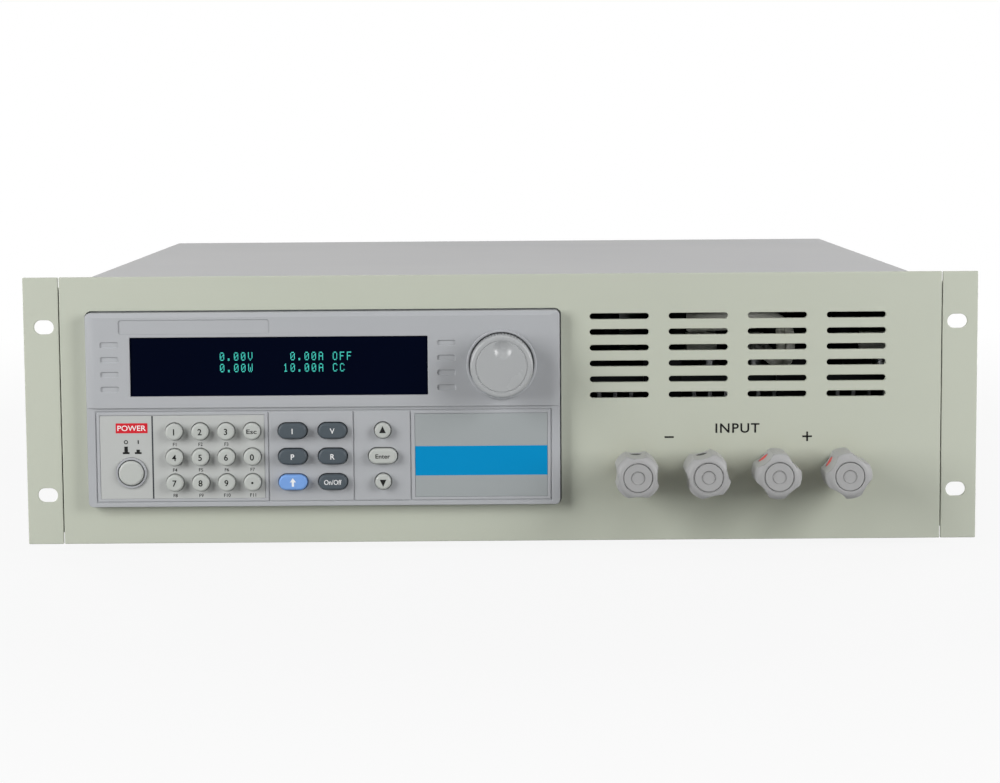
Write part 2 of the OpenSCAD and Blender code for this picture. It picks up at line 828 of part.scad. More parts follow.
boss_rows = [key_z0 + 0.5 * key_pitch_z, key_z0 + 1.5 * key_pitch_z];
boss_cols = [key_x0 - key_d / 2 - flange_edge - boss_d / 2 - boss_gap,
             (key_x0 + 3 * key_pitch_x + key_d / 2 + oval_x0 - oval_w / 2) / 2,
             nav_x + oval_w / 2 + flange_edge + boss_d / 2 + boss_gap];
disp_bosses = [for (sx = [-1, 1], sz = [-1, 1])
    [win_x + sx * (window_w / 2 + disp_boss), win_z + sz * (window_h / 2)]];

module bezel() color(moulding) in_panel_frame() {
    difference() {
        union() {
            translate([bz_m, 0, bz_c]) upright(rim_y, rim_proud + panel_t + lip_t)
                rounded(bezel_w, bezel_h, bezel_r);
            translate([bz_m, 0, bz_c]) upright(panel_t, lip_t)
                rounded(bezel_w + 2 * (bezel_gap + lip), bezel_h + 2 * (bezel_gap + lip), bezel_r);
            upper_field();
            turned(dial_x, top_y, dial_z) cap_profile(dial_ring_d / 2, dial_ring_proud, collar_edge);
        }
        // hollow back
        upright(low_back, rim_proud + panel_t + lip_t)
            span(bz_l + bezel_wall, bz_b + bezel_wall, bz_r - bezel_wall, split_z - bezel_wall / 2);
        upright(up_back, rim_proud + upper_rise + panel_t + lip_t)
            span(bz_l + bezel_wall, split_z + bezel_wall / 2, bz_r - bezel_wall, bz_t - bezel_wall);
        // window, dial and keys
        upright(top_y - over, bezel_wall + 2 * over)
            translate([win_x, win_z]) square([window_w, window_h], center = true);
        rod(dial_x, top_y - dial_ring_proud - over, dial_z, dial_ring_proud + over + dial_pocket,
            dial_d + 2 * dial_gap);
        rod(dial_x, top_y, dial_z, bezel_wall + over, bush_out_d + 2 * fit_gap);
        upright(rim_y - over, bezel_wall + 2 * over) key_holes();
        rod(power_x, rim_y - over, power_z, bezel_wall + 2 * over, power_d + 2 * key_gap);
        // pockets and grooves
        upright(rim_y - over, groove_depth + over) field_grooves();
        upright(rim_y - over, inlay_floor - rim_y + over) {
            difference() {
                keypad_area(0);
                translate([power_x, power_z]) circle(d = power_ring_d);
            }
            side_area(0);
        }
        upright(top_y - over, pocket_depth + over) {
            for (r = [0:3]) {
                translate([win_x - window_w / 2 - soft_left, win_z + (r - 1.5) * soft_pitch])
                    rounded(soft_w, soft_h, soft_r);
                translate([win_x + window_w / 2 + soft_right, win_z + (r - 1.5) * soft_pitch])
                    rounded(soft_w, soft_h, soft_r);
            }
        }
        upright(top_y - over, pocket_depth / 2 + over)
            translate([bz_l + badge_left + badge_w / 2, bz_t - badge_drop])
                rounded(badge_w, badge_h, badge_r);
    }
    // collar of the power button
    difference() {
        rod(power_x, rim_y - power_ring_proud, power_z, power_ring_proud + bezel_wall / 2, power_ring_d);
        rod(power_x, rim_y - power_ring_proud - over, power_z, bezel_wall + 2 * over, power_d + 2 * key_gap);
    }
    // bosses that carry the boards
    for (x = boss_cols, z = boss_rows) rod(x, low_back - join, z, key_board_y - low_back + join, boss_d);
    for (p = disp_bosses) rod(p[0], up_back - join, p[1], disp_board_y - up_back + join, boss_d);
}

module display_window() color(black) in_panel_frame() translate([win_x, 0, win_z]) {
    upright(top_y + window_step, win_seat - top_y - window_step)
        square([window_w - 2 * fit_gap, window_h - 2 * fit_gap], center = true);
    upright(win_seat, win_flange_t)
        square([window_w + 2 * win_flange, window_h + 2 * win_flange], center = true);
}

module display_module() in_panel_frame() translate([win_x, 0, win_z]) {
    color(black) upright(glass_y, glass_t) rounded(window_w - 2 * glass_r, window_h - 2 * glass_r, glass_r);
    color(board_green) upright(disp_board_y, board_t)
        rounded(window_w + 2 * disp_edge, window_h + 2 * disp_over, glass_r);
}

module tact_switch() {
    upright(key_board_y - switch_h + plunger_h, switch_h - plunger_h) square(switch_w, center = true);
    rod(0, key_board_y - switch_h, 0, plunger_h, plunger_d);
}

module key_board() in_panel_frame() {
    color(board_green) upright(key_board_y, board_t)
        span(boss_cols[0] - board_edge, bz_b + bezel_wall + board_gap, boss_cols[2] + board_edge,
             split_z - bezel_wall / 2 - board_gap);
    color(black) {
        for (k = DIGITS) translate([key_x0 + k[1] * key_pitch_x, 0, key_z0 + k[2] * key_pitch_z])
            tact_switch();
        for (k = OVALS) translate([oval_x0 + k[1] * oval_pitch, 0, key_z0 + k[2] * key_pitch_z])
            tact_switch();
        for (r = [0:2]) translate([nav_x, 0, key_z0 + r * key_pitch_z]) tact_switch();
    }
}

module keypad_inlay() color([0.77, 0.78, 0.78]) in_panel_frame()
    upright(rim_y + inlay_step, inlay_t) difference() {
        keypad_area(fit_gap);
        translate([power_x, power_z]) circle(d = power_ring_d + 2 * fit_gap);
        at_digits() circle(d = key_d + 2 * key_gap);
    }

module side_inlay() color([0.66, 0.68, 0.66]) in_panel_frame()
    upright(rim_y + inlay_step, inlay_t) side_area(fit_gap);

// Keys

cap_edge = 1.2;
cap_h = key_proud + bezel_wall + rest_gap;
key_flange_y = low_back + rest_gap;

// Cap, retaining flange and stem of a key; half is half the straight length of an oval
module key(x, z, d, half) in_panel_frame() {
    for (s = half > 0 ? [-1, 1] : [0])
        turned(x + s * half, key_flange_y, z) cap_profile(d / 2, cap_h, cap_edge);
    if (half > 0) translate([x - half, key_flange_y, z]) rotate([90, 0, 90]) linear_extrude(2 * half)
        rotate(90) for (m = [0, 1]) mirror([m, 0]) cap_profile(d / 2, cap_h, cap_edge);
    translate([x, 0, z]) upright(key_flange_y, flange_t)
        slot(d + 2 * half + 2 * flange_edge + 0.01, d + 2 * flange_edge);
    rod(x, key_flange_y, z, stem_end - key_flange_y, stem_d);
}

module digit_key(k) color(pale_key) key(key_x0 + k[1] * key_pitch_x, key_z0 + k[2] * key_pitch_z, key_d, 0);
module oval_key(k) color(k[1] + k[2] == 0 ? key_blue : slate)
    key(oval_x0 + k[1] * oval_pitch, key_z0 + k[2] * key_pitch_z, oval_h, (oval_w - oval_h) / 2);
module arrow_key(k) color(pale_key) key(nav_x, key_z0 + k[1] * key_pitch_z, arrow_d, 0);
module key_enter() color(pale_key) key(nav_x, enter_z, oval_h, (oval_w - oval_h) / 2);

module power_switch() color(black) in_panel_frame() difference() {
    translate([power_x, 0, power_z]) upright(low_back, power_sw_d) rounded(power_sw, power_sw, glass_r);
    rod(power_x, low_back - over, power_z, power_depth + power_clear + over, power_d + 2 * key_gap);
}

module power_button() color(pale_key) in_panel_frame()
    turned(power_x, low_back + power_depth, power_z)
        cap_profile(power_d / 2, power_depth + bezel_wall + power_proud, cap_edge);

// Dial and encoder

dial_back = top_y + dial_pocket - dial_lift;
dial_h = dial_proud + dial_pocket - dial_lift;
dimple_depth = 1.8;
rim_w = 0.9;
rim_depth = 0.25;
knurl_n = 60;
knurl_d = 0.7;
knurl_out = 0.15;
dial_groove = 0.35;

// Ball that leaves a dish of the given diameter and depth in the dial's face
module dish(d, depth) {
    ball = (d * d / 4 + depth * depth) / (2 * depth);
    translate([dial_x + dimple_r * cos(dimple_angle), dial_back - dial_h - ball + depth,
               dial_z + dimple_r * sin(dimple_angle)]) sphere(ball);
}

module dial() color(pale_key) in_panel_frame() {
    difference() {
        turned(dial_x, dial_back, dial_z) difference() {
            cap_profile(dial_d / 2, dial_h, dial_edge);
            square([dial_under_d / 2, dial_h - dial_web]);
            translate([dial_face_d / 2, dial_h]) circle(dial_groove);
        }
        dish(dimple_d, dimple_depth);
        dish(dimple_d + 2 * rim_w, rim_depth);
        for (i = [0:knurl_n - 1]) translate([dial_x, dial_back - dial_h + dial_edge + knurl_d, dial_z])
            rotate([-90, 0, 0]) rotate([0, 0, 360 / knurl_n * i]) translate([dial_d / 2 + knurl_out, 0, 0])
                cylinder(d = knurl_d, h = dial_h);
    }
    rod(dial_x, dial_back - dial_h + dial_web - join, dial_z, dial_h + encoder_reach + dial_pocket,
        spindle_d);
}

encoder_nut_t = 1.8;
encoder_nut_d = 12;
bush_over = 0.3;
module encoder_body() color(steel) in_panel_frame() {
    difference() {
        union() {
            translate([dial_x, 0, dial_z]) upright(up_back, encoder_d) square(encoder_w, center = true);
            rod(dial_x, top_y + dial_pocket - encoder_nut_t - bush_over, dial_z, encoder_d, bush_out_d);
        }
        rod(dial_x, top_y - dial_proud, dial_z, up_back - top_y + dial_proud + encoder_d - encoder_floor,
            spindle_d + 2 * run_gap);
    }
    difference() {
        translate([dial_x, top_y + dial_pocket - encoder_nut_t, dial_z]) rotate([-90, 0, 0])
            cylinder(d = encoder_nut_d, h = encoder_nut_t, $fn = 6);
        rod(dial_x, top_y - dial_proud, dial_z, 2 * dial_proud, bush_out_d + 2 * fit_gap);
    }
}

// Input terminals

module terminal_bushings() color(black) in_panel_frame() for (x = terms) {
    difference() {
        union() {
            turned(x, 0, term_z) cap_profile(bush_d / 2, bush_h, bush_edge);
            rod(x, -join, term_z, panel_t + join - rest_gap, neck_d);
        }
        rod(x, -bush_h - over, term_z, bush_h + panel_t + 2 * over, stud_d + 2 * fit_gap);
    }
    difference() {
        rod(x, panel_t, term_z, neck_back, bush_d);
        rod(x, panel_t - over, term_z, neck_back + 2 * over, stud_d + 2 * fit_gap);
    }
}

module hex_nut(x, y) difference() {
    translate([x, y, term_z]) rotate([-90, 0, 0]) cylinder(d = nut_d, h = nut_t, $fn = 6);
    rod(x, y - over, term_z, nut_t + 2 * over, stud_d + 2 * run_gap);
}

module terminal_studs() color(brass) in_panel_frame() for (x = terms) {
    rod(x, stud_tip, term_z, bar_y + bar_t + nut_t + stud_over - stud_tip, stud_d);
    rod(x, -bush_h - seat_t, term_z, seat_t, seat_d);
    hex_nut(x, panel_t + neck_back);
    hex_nut(x, bar_y + bar_t);
}

// One bar joins two studs, runs back and rises to the power board behind it
module bus_bar(x0, x1) {
    mid = (x0 + x1) / 2;
    difference() {
        upright(bar_y, bar_t) span(x0 - bar_w / 2, term_z - bar_w / 2, x1 + bar_w / 2, term_z + bar_w / 2);
        for (x = [x0, x1]) rod(x, bar_y - over, term_z, bar_t + 2 * over, stud_d + 2 * fit_gap);
    }
    translate([mid - bar_w / 2, bar_y, term_z + bar_w / 2 - bar_t]) cube([bar_w, riser_y - bar_y, bar_t]);
    translate([mid - bar_w / 2, riser_y - bar_t, term_z + bar_w / 2 - bar_t])
        cube([bar_w, bar_t, power_board_z + board_t + 2 * bar_t - term_z - bar_w / 2]);
    translate([mid - bar_w / 2, riser_y - bar_t, power_board_z + board_t])
        cube([bar_w, sink_front + bar_reach - riser_y, bar_t]);
}

module bus_bars() color(copper) in_panel_frame() {
    bus_bar(terms[0], terms[1]);
    bus_bar(terms[2], terms[3]);
}

module clamp_washer(i) color(steel) in_panel_frame() difference() {
    rod(terms[i], washer_y - washer_t, term_z, washer_t, washer_d);
    rod(terms[i], washer_y - washer_t - over, term_z, washer_t + 2 * over, stud_d + 2 * run_gap);
}

knob_edge = 4;
cap_recess = 1.2;
cap_mark_d = 6.4;
cap_mark_depth = 0.15;
cap_gap = 0.3;
dot_depth = 3;
dot_back = 6;

// Lobed hand knob, its front cap and the coloured dot in one hollow
module terminal_knob(i) in_panel_frame() translate([terms[i], knob_y, term_z]) {
    color([0.69, 0.69, 0.70]) difference() {
        intersection() {
            rotate([90, 0, 0]) linear_extrude(knob_len) difference() {
                circle(knob_r);
                for (k = [0:3]) rotate(dot_angles[i] + 90 * k) translate([knob_waist + scallop_r, 0])
                    circle(scallop_r);
            }
            turned(0, 0, 0) cap_profile(knob_r + run_gap, knob_len, knob_edge);
        }
        rod(0, stud_tip - knob_y - over, 0, knob_y - stud_tip + 2 * over, stud_d + 2 * run_gap);
        rod(0, -knob_len - over, 0, cap_recess + over, cap_d + 2 * cap_gap);
        dot_plug(dot_angles[i], fit_gap, 2 * over);
    }
    color([0.69, 0.69, 0.70]) difference() {
        turned(0, -knob_len + cap_recess - rest_gap / 2, 0)
            cap_profile(cap_d / 2, cap_recess - rest_gap / 2, cap_gap);
        rod(0, -knob_len - over, 0, over + cap_mark_depth, cap_mark_d);
    }
    color(i < 2 ? black : [0.75, 0.12, 0.14]) dot_plug(dot_angles[i], 0, 0);
}

module dot_plug(angle, grow, extra)
    rotate([0, -angle, 0]) translate([knob_waist - dot_depth - grow, -dot_back, 0]) rotate([0, 90, 0])
        cylinder(d = dot_d + 2 * grow, h = dot_depth + 2 * grow + extra - run_gap);

// Cooling

module heatsink(x) translate([x, 0, 0]) upright(sink_front, sink_len) {
    span(-sink_w / 2, sink_top - sink_base_t, sink_w / 2, sink_top);
    for (i = [0:fin_n - 1]) {
        at = -sink_w / 2 + fin_t / 2 + i * (sink_w - fin_t) / (fin_n - 1);
        span(at - fin_t / 2, floor_z + (i == 0 || i == fin_n - 1 ? 0 : fin_lift), at + fin_t / 2, sink_top);
    }
    for (s = [-1, 1]) translate([s * (sink_w - sink_foot_w) / 2, floor_z + sink_foot_t / 2])
        square([sink_foot_w, sink_foot_t], center = true);
}

module heatsinks() color(alloy) in_panel_frame() for (x = fans) heatsink(x);

// Transistors and their capacitors in rows along each power board, and two plugs at its front
part_pitch = 46;
row_in = 45;
part_n = floor((power_board_d - row_in - sink_in) / part_pitch);
can_d = 16;
can_h = 22;
can_x = 20;
pack_w = 16;
pack_l = 21;
pack_t = 5;
pack_x = 25;
plug_d = 9;
plug_h = 11;
plugs = [[-38, 8], [22, 16]];

module power_boards() in_panel_frame() for (x = fans) translate([x, sink_front + sink_in, 0]) {
    color(board_green) translate([-power_board_w / 2, 0, power_board_z])
        cube([power_board_w, power_board_d, board_t]);
    color(steel) for (sx = [-1, 1], y = [post_in, power_board_d - post_in])
        translate([sx * (power_board_w / 2 - post_in), y, sink_top])
            cylinder(d = post_d, h = power_board_lift);
    color(black) for (k = [0:part_n - 1], sx = [-1, 1])
        translate([sx * can_x, row_in + k * part_pitch, power_board_z + board_t])
            cylinder(d = can_d, h = can_h);
    color([0.92, 0.92, 0.90]) for (p = plugs)
        translate([p[0], board_gap, power_board_z + board_t]) cube([p[1], plug_d, plug_h]);
}

module power_transistors() color(black) in_panel_frame() for (x = fans, k = [0:part_n - 1], sx = [-1, 1])
    translate([x + sx * pack_x - pack_w / 2, sink_front + row_in + k * part_pitch, sink_top])
        cube([pack_w, pack_l, pack_t]);

module fan_frames() color(black) in_panel_frame() for (x = fans) translate([x, 0, fan_z]) {
    difference() {
        upright(fan_y, fan_depth) rounded(fan_size, fan_size, fan_r);
        rod(0, fan_y - over, 0, fan_depth + 2 * over, tunnel_d);
        for (sx = [-1, 1], sz = [-1, 1])
            rod(sx * fan_hole, fan_y - over, sz * fan_hole, fan_depth + 2 * over, screw_d + 2 * fit_gap);
    }
    rod(0, rear_in - stator_t, 0, stator_t, hub_d);
    for (a = [0, 90]) difference() {
        translate([0, rear_in - stator_t, 0]) rotate([0, a + 20, 0])
            translate([-tunnel_d / 2 - join, 0, -strut_w / 2])
                cube([tunnel_d + 2 * join, stator_t - strut_step, strut_w]);
        rod(0, fan_y, 0, fan_depth, hub_d - 2 * join);
    }
    rod(0, fan_y + shaft_in, 0, fan_depth - shaft_in, shaft_d);
}

rotor_in = 1.5;
rotor_y = fan_y + rotor_in;
rotor_h = fan_depth - stator_t - rotor_in - rotor_gap;
blade_t = 1.6;
blade_root = 2;

module fan_rotor(i) color([0.16, 0.16, 0.17]) in_panel_frame() translate([fans[i], 0, fan_z]) difference() {
    union() {
        turned(0, rotor_y + rotor_h, 0) cap_profile(hub_d / 2, rotor_h, rotor_in);
        intersection() {
            rod(0, rotor_y + join, 0, rotor_h - 2 * join, rotor_d);
            for (k = [0:blade_n - 1]) rotate([0, 360 / blade_n * k, 0])
                translate([hub_d / 2 - blade_root, rotor_y + rotor_h / 2, 0]) rotate([blade_pitch, 0, 0])
                    translate([0, -blade_t / 2, -fan_depth]) cube([rotor_d / 2, blade_t, 2 * fan_depth]);
        }
    }
    rod(0, fan_y + shaft_in - rotor_gap, 0, fan_depth, shaft_d + 2 * run_gap);
}

// Mains and control electronics

ring_shift = 20;
ring_back = 70;
ring_x = -in_w / 4 - ring_shift;
ring_y = body_d - ring_back - ring_d / 2;
ring_hole = 34;
ring_edge = 8;
pad_t = 2;
plate_over = 26;
bolt_d = 6;
bolt_over = 10;
bolt_nut_t = 7;

module transformer() in_panel_frame() translate([ring_x, ring_y, floor_z]) {
    color(black) difference() {
        cylinder(d = ring_d - ring_edge, h = pad_t);
        translate([0, 0, -over]) cylinder(d = bolt_d + 2 * rest_gap, h = pad_t + 2 * over);
    }
    color([0.75, 0.55, 0.20]) translate([0, 0, pad_t + rest_gap / 2]) rotate_extrude()
        translate([(ring_d + ring_hole) / 4, ring_h / 2])
            rounded((ring_d - ring_hole) / 2, ring_h, ring_edge);
    color(steel) translate([0, 0, pad_t + ring_h + rest_gap]) {
        cylinder(d = ring_hole + plate_over, h = pad_t);
        translate([0, 0, -pad_t - ring_h - rest_gap]) cylinder(d = bolt_d, h = pad_t + ring_h + bolt_over);
        cylinder(d = 2 * bolt_d, h = bolt_nut_t, $fn = 6);
    }
}

// Chips, cooled regulator, capacitors and plugs on the control board: place, then size
chips = [[95, 42, 22, 22, 2], [145, 78, 14, 30, 3]];
regulator = [24, 68, 60, 12, 25];
filter_d = 12.5;
filter_h = 25;
filter_pitch = 17;
filter_in = 20;
plug_pitch = 45;
plug_w = 28;
plug_in = 30;

module control_board() in_panel_frame() translate([control_x, control_y, floor_z + post_h]) {
    color(board_green) difference() {
        cube([control_w, control_d, board_t]);
        for (p = posts_at) translate([p[0] - control_x, p[1] - control_y, -over])
            cylinder(d = screw_d + 2 * fit_gap, h = board_t + 2 * over);
    }
    color(black) {
        for (c = chips) translate([c[0], c[1], board_t]) cube([c[2], c[3], c[4]]);
        for (k = [0:3]) translate([filter_in + k * filter_pitch, control_d - filter_in, board_t])
            cylinder(d = filter_d, h = filter_h);
    }
    color(alloy) translate([regulator[0], regulator[1], board_t])
        cube([regulator[2], regulator[3], regulator[4]]);
    color([0.92, 0.92, 0.90]) for (k = [0:2]) translate([plug_in + k * plug_pitch, post_in, board_t])
        cube([plug_w, plug_d, plug_h]);
}

module socket_outline() {
    w = socket_w / 2;
    h = socket_h / 2;
    polygon([[-w, -h], [w, -h], [w, h - socket_cut], [w - socket_cut, h], [-w + socket_cut, h],
             [-w, h - socket_cut]]);
}

module mains_inlet() in_panel_frame() translate([-inlet_x, 0, inlet_z]) {
    color(black) difference() {
        union() {
            upright(body_d, inlet_lip)
                rounded(inlet_w + 2 * inlet_side, 2 * (inlet_screw + inlet_ear), inlet_r);
            upright(body_d - inlet_deep, inlet_deep + join) square([inlet_w, inlet_h], center = true);
        }
        translate([0, 0, socket_rise]) upright(body_d + inlet_lip - socket_deep, socket_deep + over)
            socket_outline();
        translate([0, 0, -drawer_drop]) upright(body_d + inlet_lip - drawer_deep - over, drawer_deep + 2 * over)
            square([drawer_w + 2 * key_gap, drawer_h + 2 * key_gap], center = true);
        for (s = [-1, 1])
            rod(0, body_d - over, s * inlet_screw, inlet_lip + 2 * over, screw_d + 2 * fit_gap);
    }
    color(steel) for (p = pins)
        translate([p[0] - pin_w / 2, body_d + inlet_lip - socket_deep, socket_rise + p[1] - pin_h / 2])
            cube([pin_w, socket_deep - pin_back, pin_h]);
}

module fuse_drawer() color(black) in_panel_frame() translate([-inlet_x, 0, inlet_z - drawer_drop]) {
    difference() {
        upright(body_d + inlet_lip - drawer_deep, drawer_deep + drawer_proud)
            square([drawer_w, drawer_h], center = true);
        translate([-drawer_w / 2 + drawer_wall, body_d + inlet_lip - drawer_deep + drawer_wall,
                   -drawer_h / 2 + drawer_wall])
            cube([drawer_w - 2 * drawer_wall, drawer_deep - drawer_wall - drawer_front, drawer_h]);
        translate([0, 0, -drawer_h / 2]) upright(body_d + inlet_lip - grip_in, drawer_front)
            square([grip_w, drawer_front], center = true);
    }
}

jack_pitch = 25;
jack_d = 5.5;
shell_slant = 1.5;

// Outline of the port's shell, smaller all round by the given amount
module shell_outline(shrink) {
    w = shell_w / 2 - shrink;
    h = shell_h / 2 - shrink;
    polygon([[-w + shell_slant, -h], [w - shell_slant, -h], [w, h], [-w, h]]);
}

module serial_port() color(steel) in_panel_frame() translate([-port_x, 0, port_z]) {
    difference() {
        union() {
            upright(body_d, port_t) rounded(port_w, port_h, shell_slant);
            upright(body_d, port_proud) shell_outline(0);
            upright(body_d - port_deep, port_deep)
                square([shell_w + port_body, shell_h + port_body], center = true);
        }
        upright(body_d + port_t, port_proud) shell_outline(shell_t);
    }
    for (s = [-1, 1]) translate([s * jack_pitch / 2, body_d, 0]) rotate([-90, 0, 0])
        cylinder(d = jack_d, h = port_proud - port_t, $fn = 6);
}

front_panel();
rack_ears();
base_tray();
top_cover();
rear_panel();
feet();
chassis_screws();
bezel();
display_window();
display_module();
key_board();
keypad_inlay();
side_inlay();
encoder_body();
power_switch();
terminal_bushings();
terminal_studs();
bus_bars();
heatsinks();
power_boards();
power_transistors();
fan_frames();
transformer();
control_board();
mains_inlet();
serial_port();
fuse_drawer();
power_button();
dial();
key_enter();
for (k = DIGITS) digit_key(k);
for (k = OVALS) oval_key(k);
for (k = ARROWS) arrow_key(k);
for (i = [0:3]) terminal_knob(i);
for (i = [0:3]) clamp_washer(i);
for (i = [0:1]) fan_rotor(i);
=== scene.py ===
"""Looks of a rack mounting DC electronic load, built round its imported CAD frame."""
import math

import bmesh
import bpy
from mathutils import Matrix, Vector


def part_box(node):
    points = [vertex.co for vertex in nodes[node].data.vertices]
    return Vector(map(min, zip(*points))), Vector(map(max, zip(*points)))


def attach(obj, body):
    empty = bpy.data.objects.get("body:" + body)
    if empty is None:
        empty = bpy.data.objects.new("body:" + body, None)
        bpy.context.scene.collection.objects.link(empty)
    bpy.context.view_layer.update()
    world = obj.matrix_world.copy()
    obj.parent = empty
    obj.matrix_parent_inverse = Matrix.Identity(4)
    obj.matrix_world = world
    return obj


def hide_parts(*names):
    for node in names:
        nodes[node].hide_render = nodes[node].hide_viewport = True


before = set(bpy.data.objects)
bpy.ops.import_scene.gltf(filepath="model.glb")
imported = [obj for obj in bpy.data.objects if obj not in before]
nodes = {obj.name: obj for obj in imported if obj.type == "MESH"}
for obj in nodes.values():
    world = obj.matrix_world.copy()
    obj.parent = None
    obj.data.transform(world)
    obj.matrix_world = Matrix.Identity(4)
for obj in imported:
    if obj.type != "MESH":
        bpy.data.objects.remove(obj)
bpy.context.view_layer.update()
scene = bpy.context.scene
scene.view_settings.view_transform = "Standard"

MM = 0.001
PANEL_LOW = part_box("front_panel")[0]
FRONT_Y = PANEL_LOW.y
KEYS = ["key_7", "key_8", "key_9", "key_point", "key_4", "key_5", "key_6", "key_0",
        "key_1", "key_2", "key_3", "key_escape"]
SLATE_KEYS = ["key_on_off", "key_power_set", "key_resistance_set", "key_current_set", "key_voltage_set"]
PALE_KEYS = KEYS + ["key_up", "key_enter", "key_down", "power_button"]
KNOBS = ["terminal_knob_1", "terminal_knob_2", "terminal_knob_3", "terminal_knob_4"]

# Sizes and places in millimetres; places are given in the panel's frame
DIVIDER_X = (-176.95, -176.15)
DIVIDER_Z = (23.6, 65.9)
BLUE_BAND_Z = (34.6, 49.6)
# Depth of the painted shade along the top of the heat sinks
SINK_SHADED_TOP = 8.5
BAR_BARE = 21
PLUG_TALL = 21.5
PLUG_DEEP = 12
SPACER_TALL = 7.9
DOT_SPAN = 7.5
HEAD_REACH = 3.1
HEAD_AREA = (26, 29)
PIN_HALF = (1.2, 2.2)
PIN_Y = (16.9, 5)
SOCKET_RISE = 9
PRINT_LIFT = 0.03
LEGEND_DROP = 6.6
SIGN_Z = 52.7
PICTURE_Z = 47.1
LEAD_R = 2.3
LEAD_PITCH = 4.7


def at(x, y, z):
    """A point given in millimetres from the middle of the panel's lower front edge."""
    return Vector((x * MM, FRONT_Y + y * MM, PANEL_LOW.z + z * MM))


def linear(red, green, blue):
    """An 8 bit colour as linear light."""
    shares = [c / 255 for c in (red, green, blue)]
    return tuple(((s + 0.055) / 1.055) ** 2.4 if s > 10 / 255 else s / 12.92 for s in shares) + (1,)


# Node groups that several finishes share

def grain_group():
    """Fine grain of paint or moulded plastic: a height for bump and broad patches for tint and gloss."""
    group = bpy.data.node_groups.new("surface_grain", "ShaderNodeTree")
    face = group.interface
    face.new_socket("Grain", in_out="INPUT", socket_type="NodeSocketFloat").default_value = 900
    face.new_socket("Patch", in_out="INPUT", socket_type="NodeSocketFloat").default_value = 14
    face.new_socket("Height", in_out="OUTPUT", socket_type="NodeSocketFloat")
    face.new_socket("Patches", in_out="OUTPUT", socket_type="NodeSocketFloat")
    add = group.nodes.new
    enter, leave, place = add("NodeGroupInput"), add("NodeGroupOutput"), add("ShaderNodeTexCoord")
    fine, broad = add("ShaderNodeTexNoise"), add("ShaderNodeTexNoise")
    fine.inputs["Detail"].default_value = 2
    broad.inputs["Detail"].default_value = 4
    broad.inputs["Roughness"].default_value = 0.6
    for noise, socket in ((fine, "Grain"), (broad, "Patch")):
        group.links.new(place.outputs["Object"], noise.inputs["Vector"])
        group.links.new(enter.outputs[socket], noise.inputs["Scale"])
    group.links.new(fine.outputs["Fac"], leave.inputs["Height"])
    group.links.new(broad.outputs["Fac"], leave.inputs["Patches"])
    return group


def brush_group():
    """Long fine streaks along X, as on rolled or brushed sheet."""
    group = bpy.data.node_groups.new("brushed_streaks", "ShaderNodeTree")
    face = group.interface
    face.new_socket("Streak", in_out="INPUT", socket_type="NodeSocketFloat").default_value = 60
    face.new_socket("Streaks", in_out="OUTPUT", socket_type="NodeSocketFloat")
    add = group.nodes.new
    enter, leave, place = add("NodeGroupInput"), add("NodeGroupOutput"), add("ShaderNodeTexCoord")
    stretch, noise = add("ShaderNodeMapping"), add("ShaderNodeTexNoise")
    stretch.inputs["Scale"].default_value = (0.4, 30, 30)
    noise.inputs["Detail"].default_value = 3
    group.links.new(place.outputs["Object"], stretch.inputs["Vector"])
    group.links.new(stretch.outputs["Vector"], noise.inputs["Vector"])
    group.links.new(enter.outputs["Streak"], noise.inputs["Scale"])
    group.links.new(noise.outputs["Fac"], leave.inputs["Streaks"])
    return group


GRAIN = grain_group()
BRUSH = brush_group()


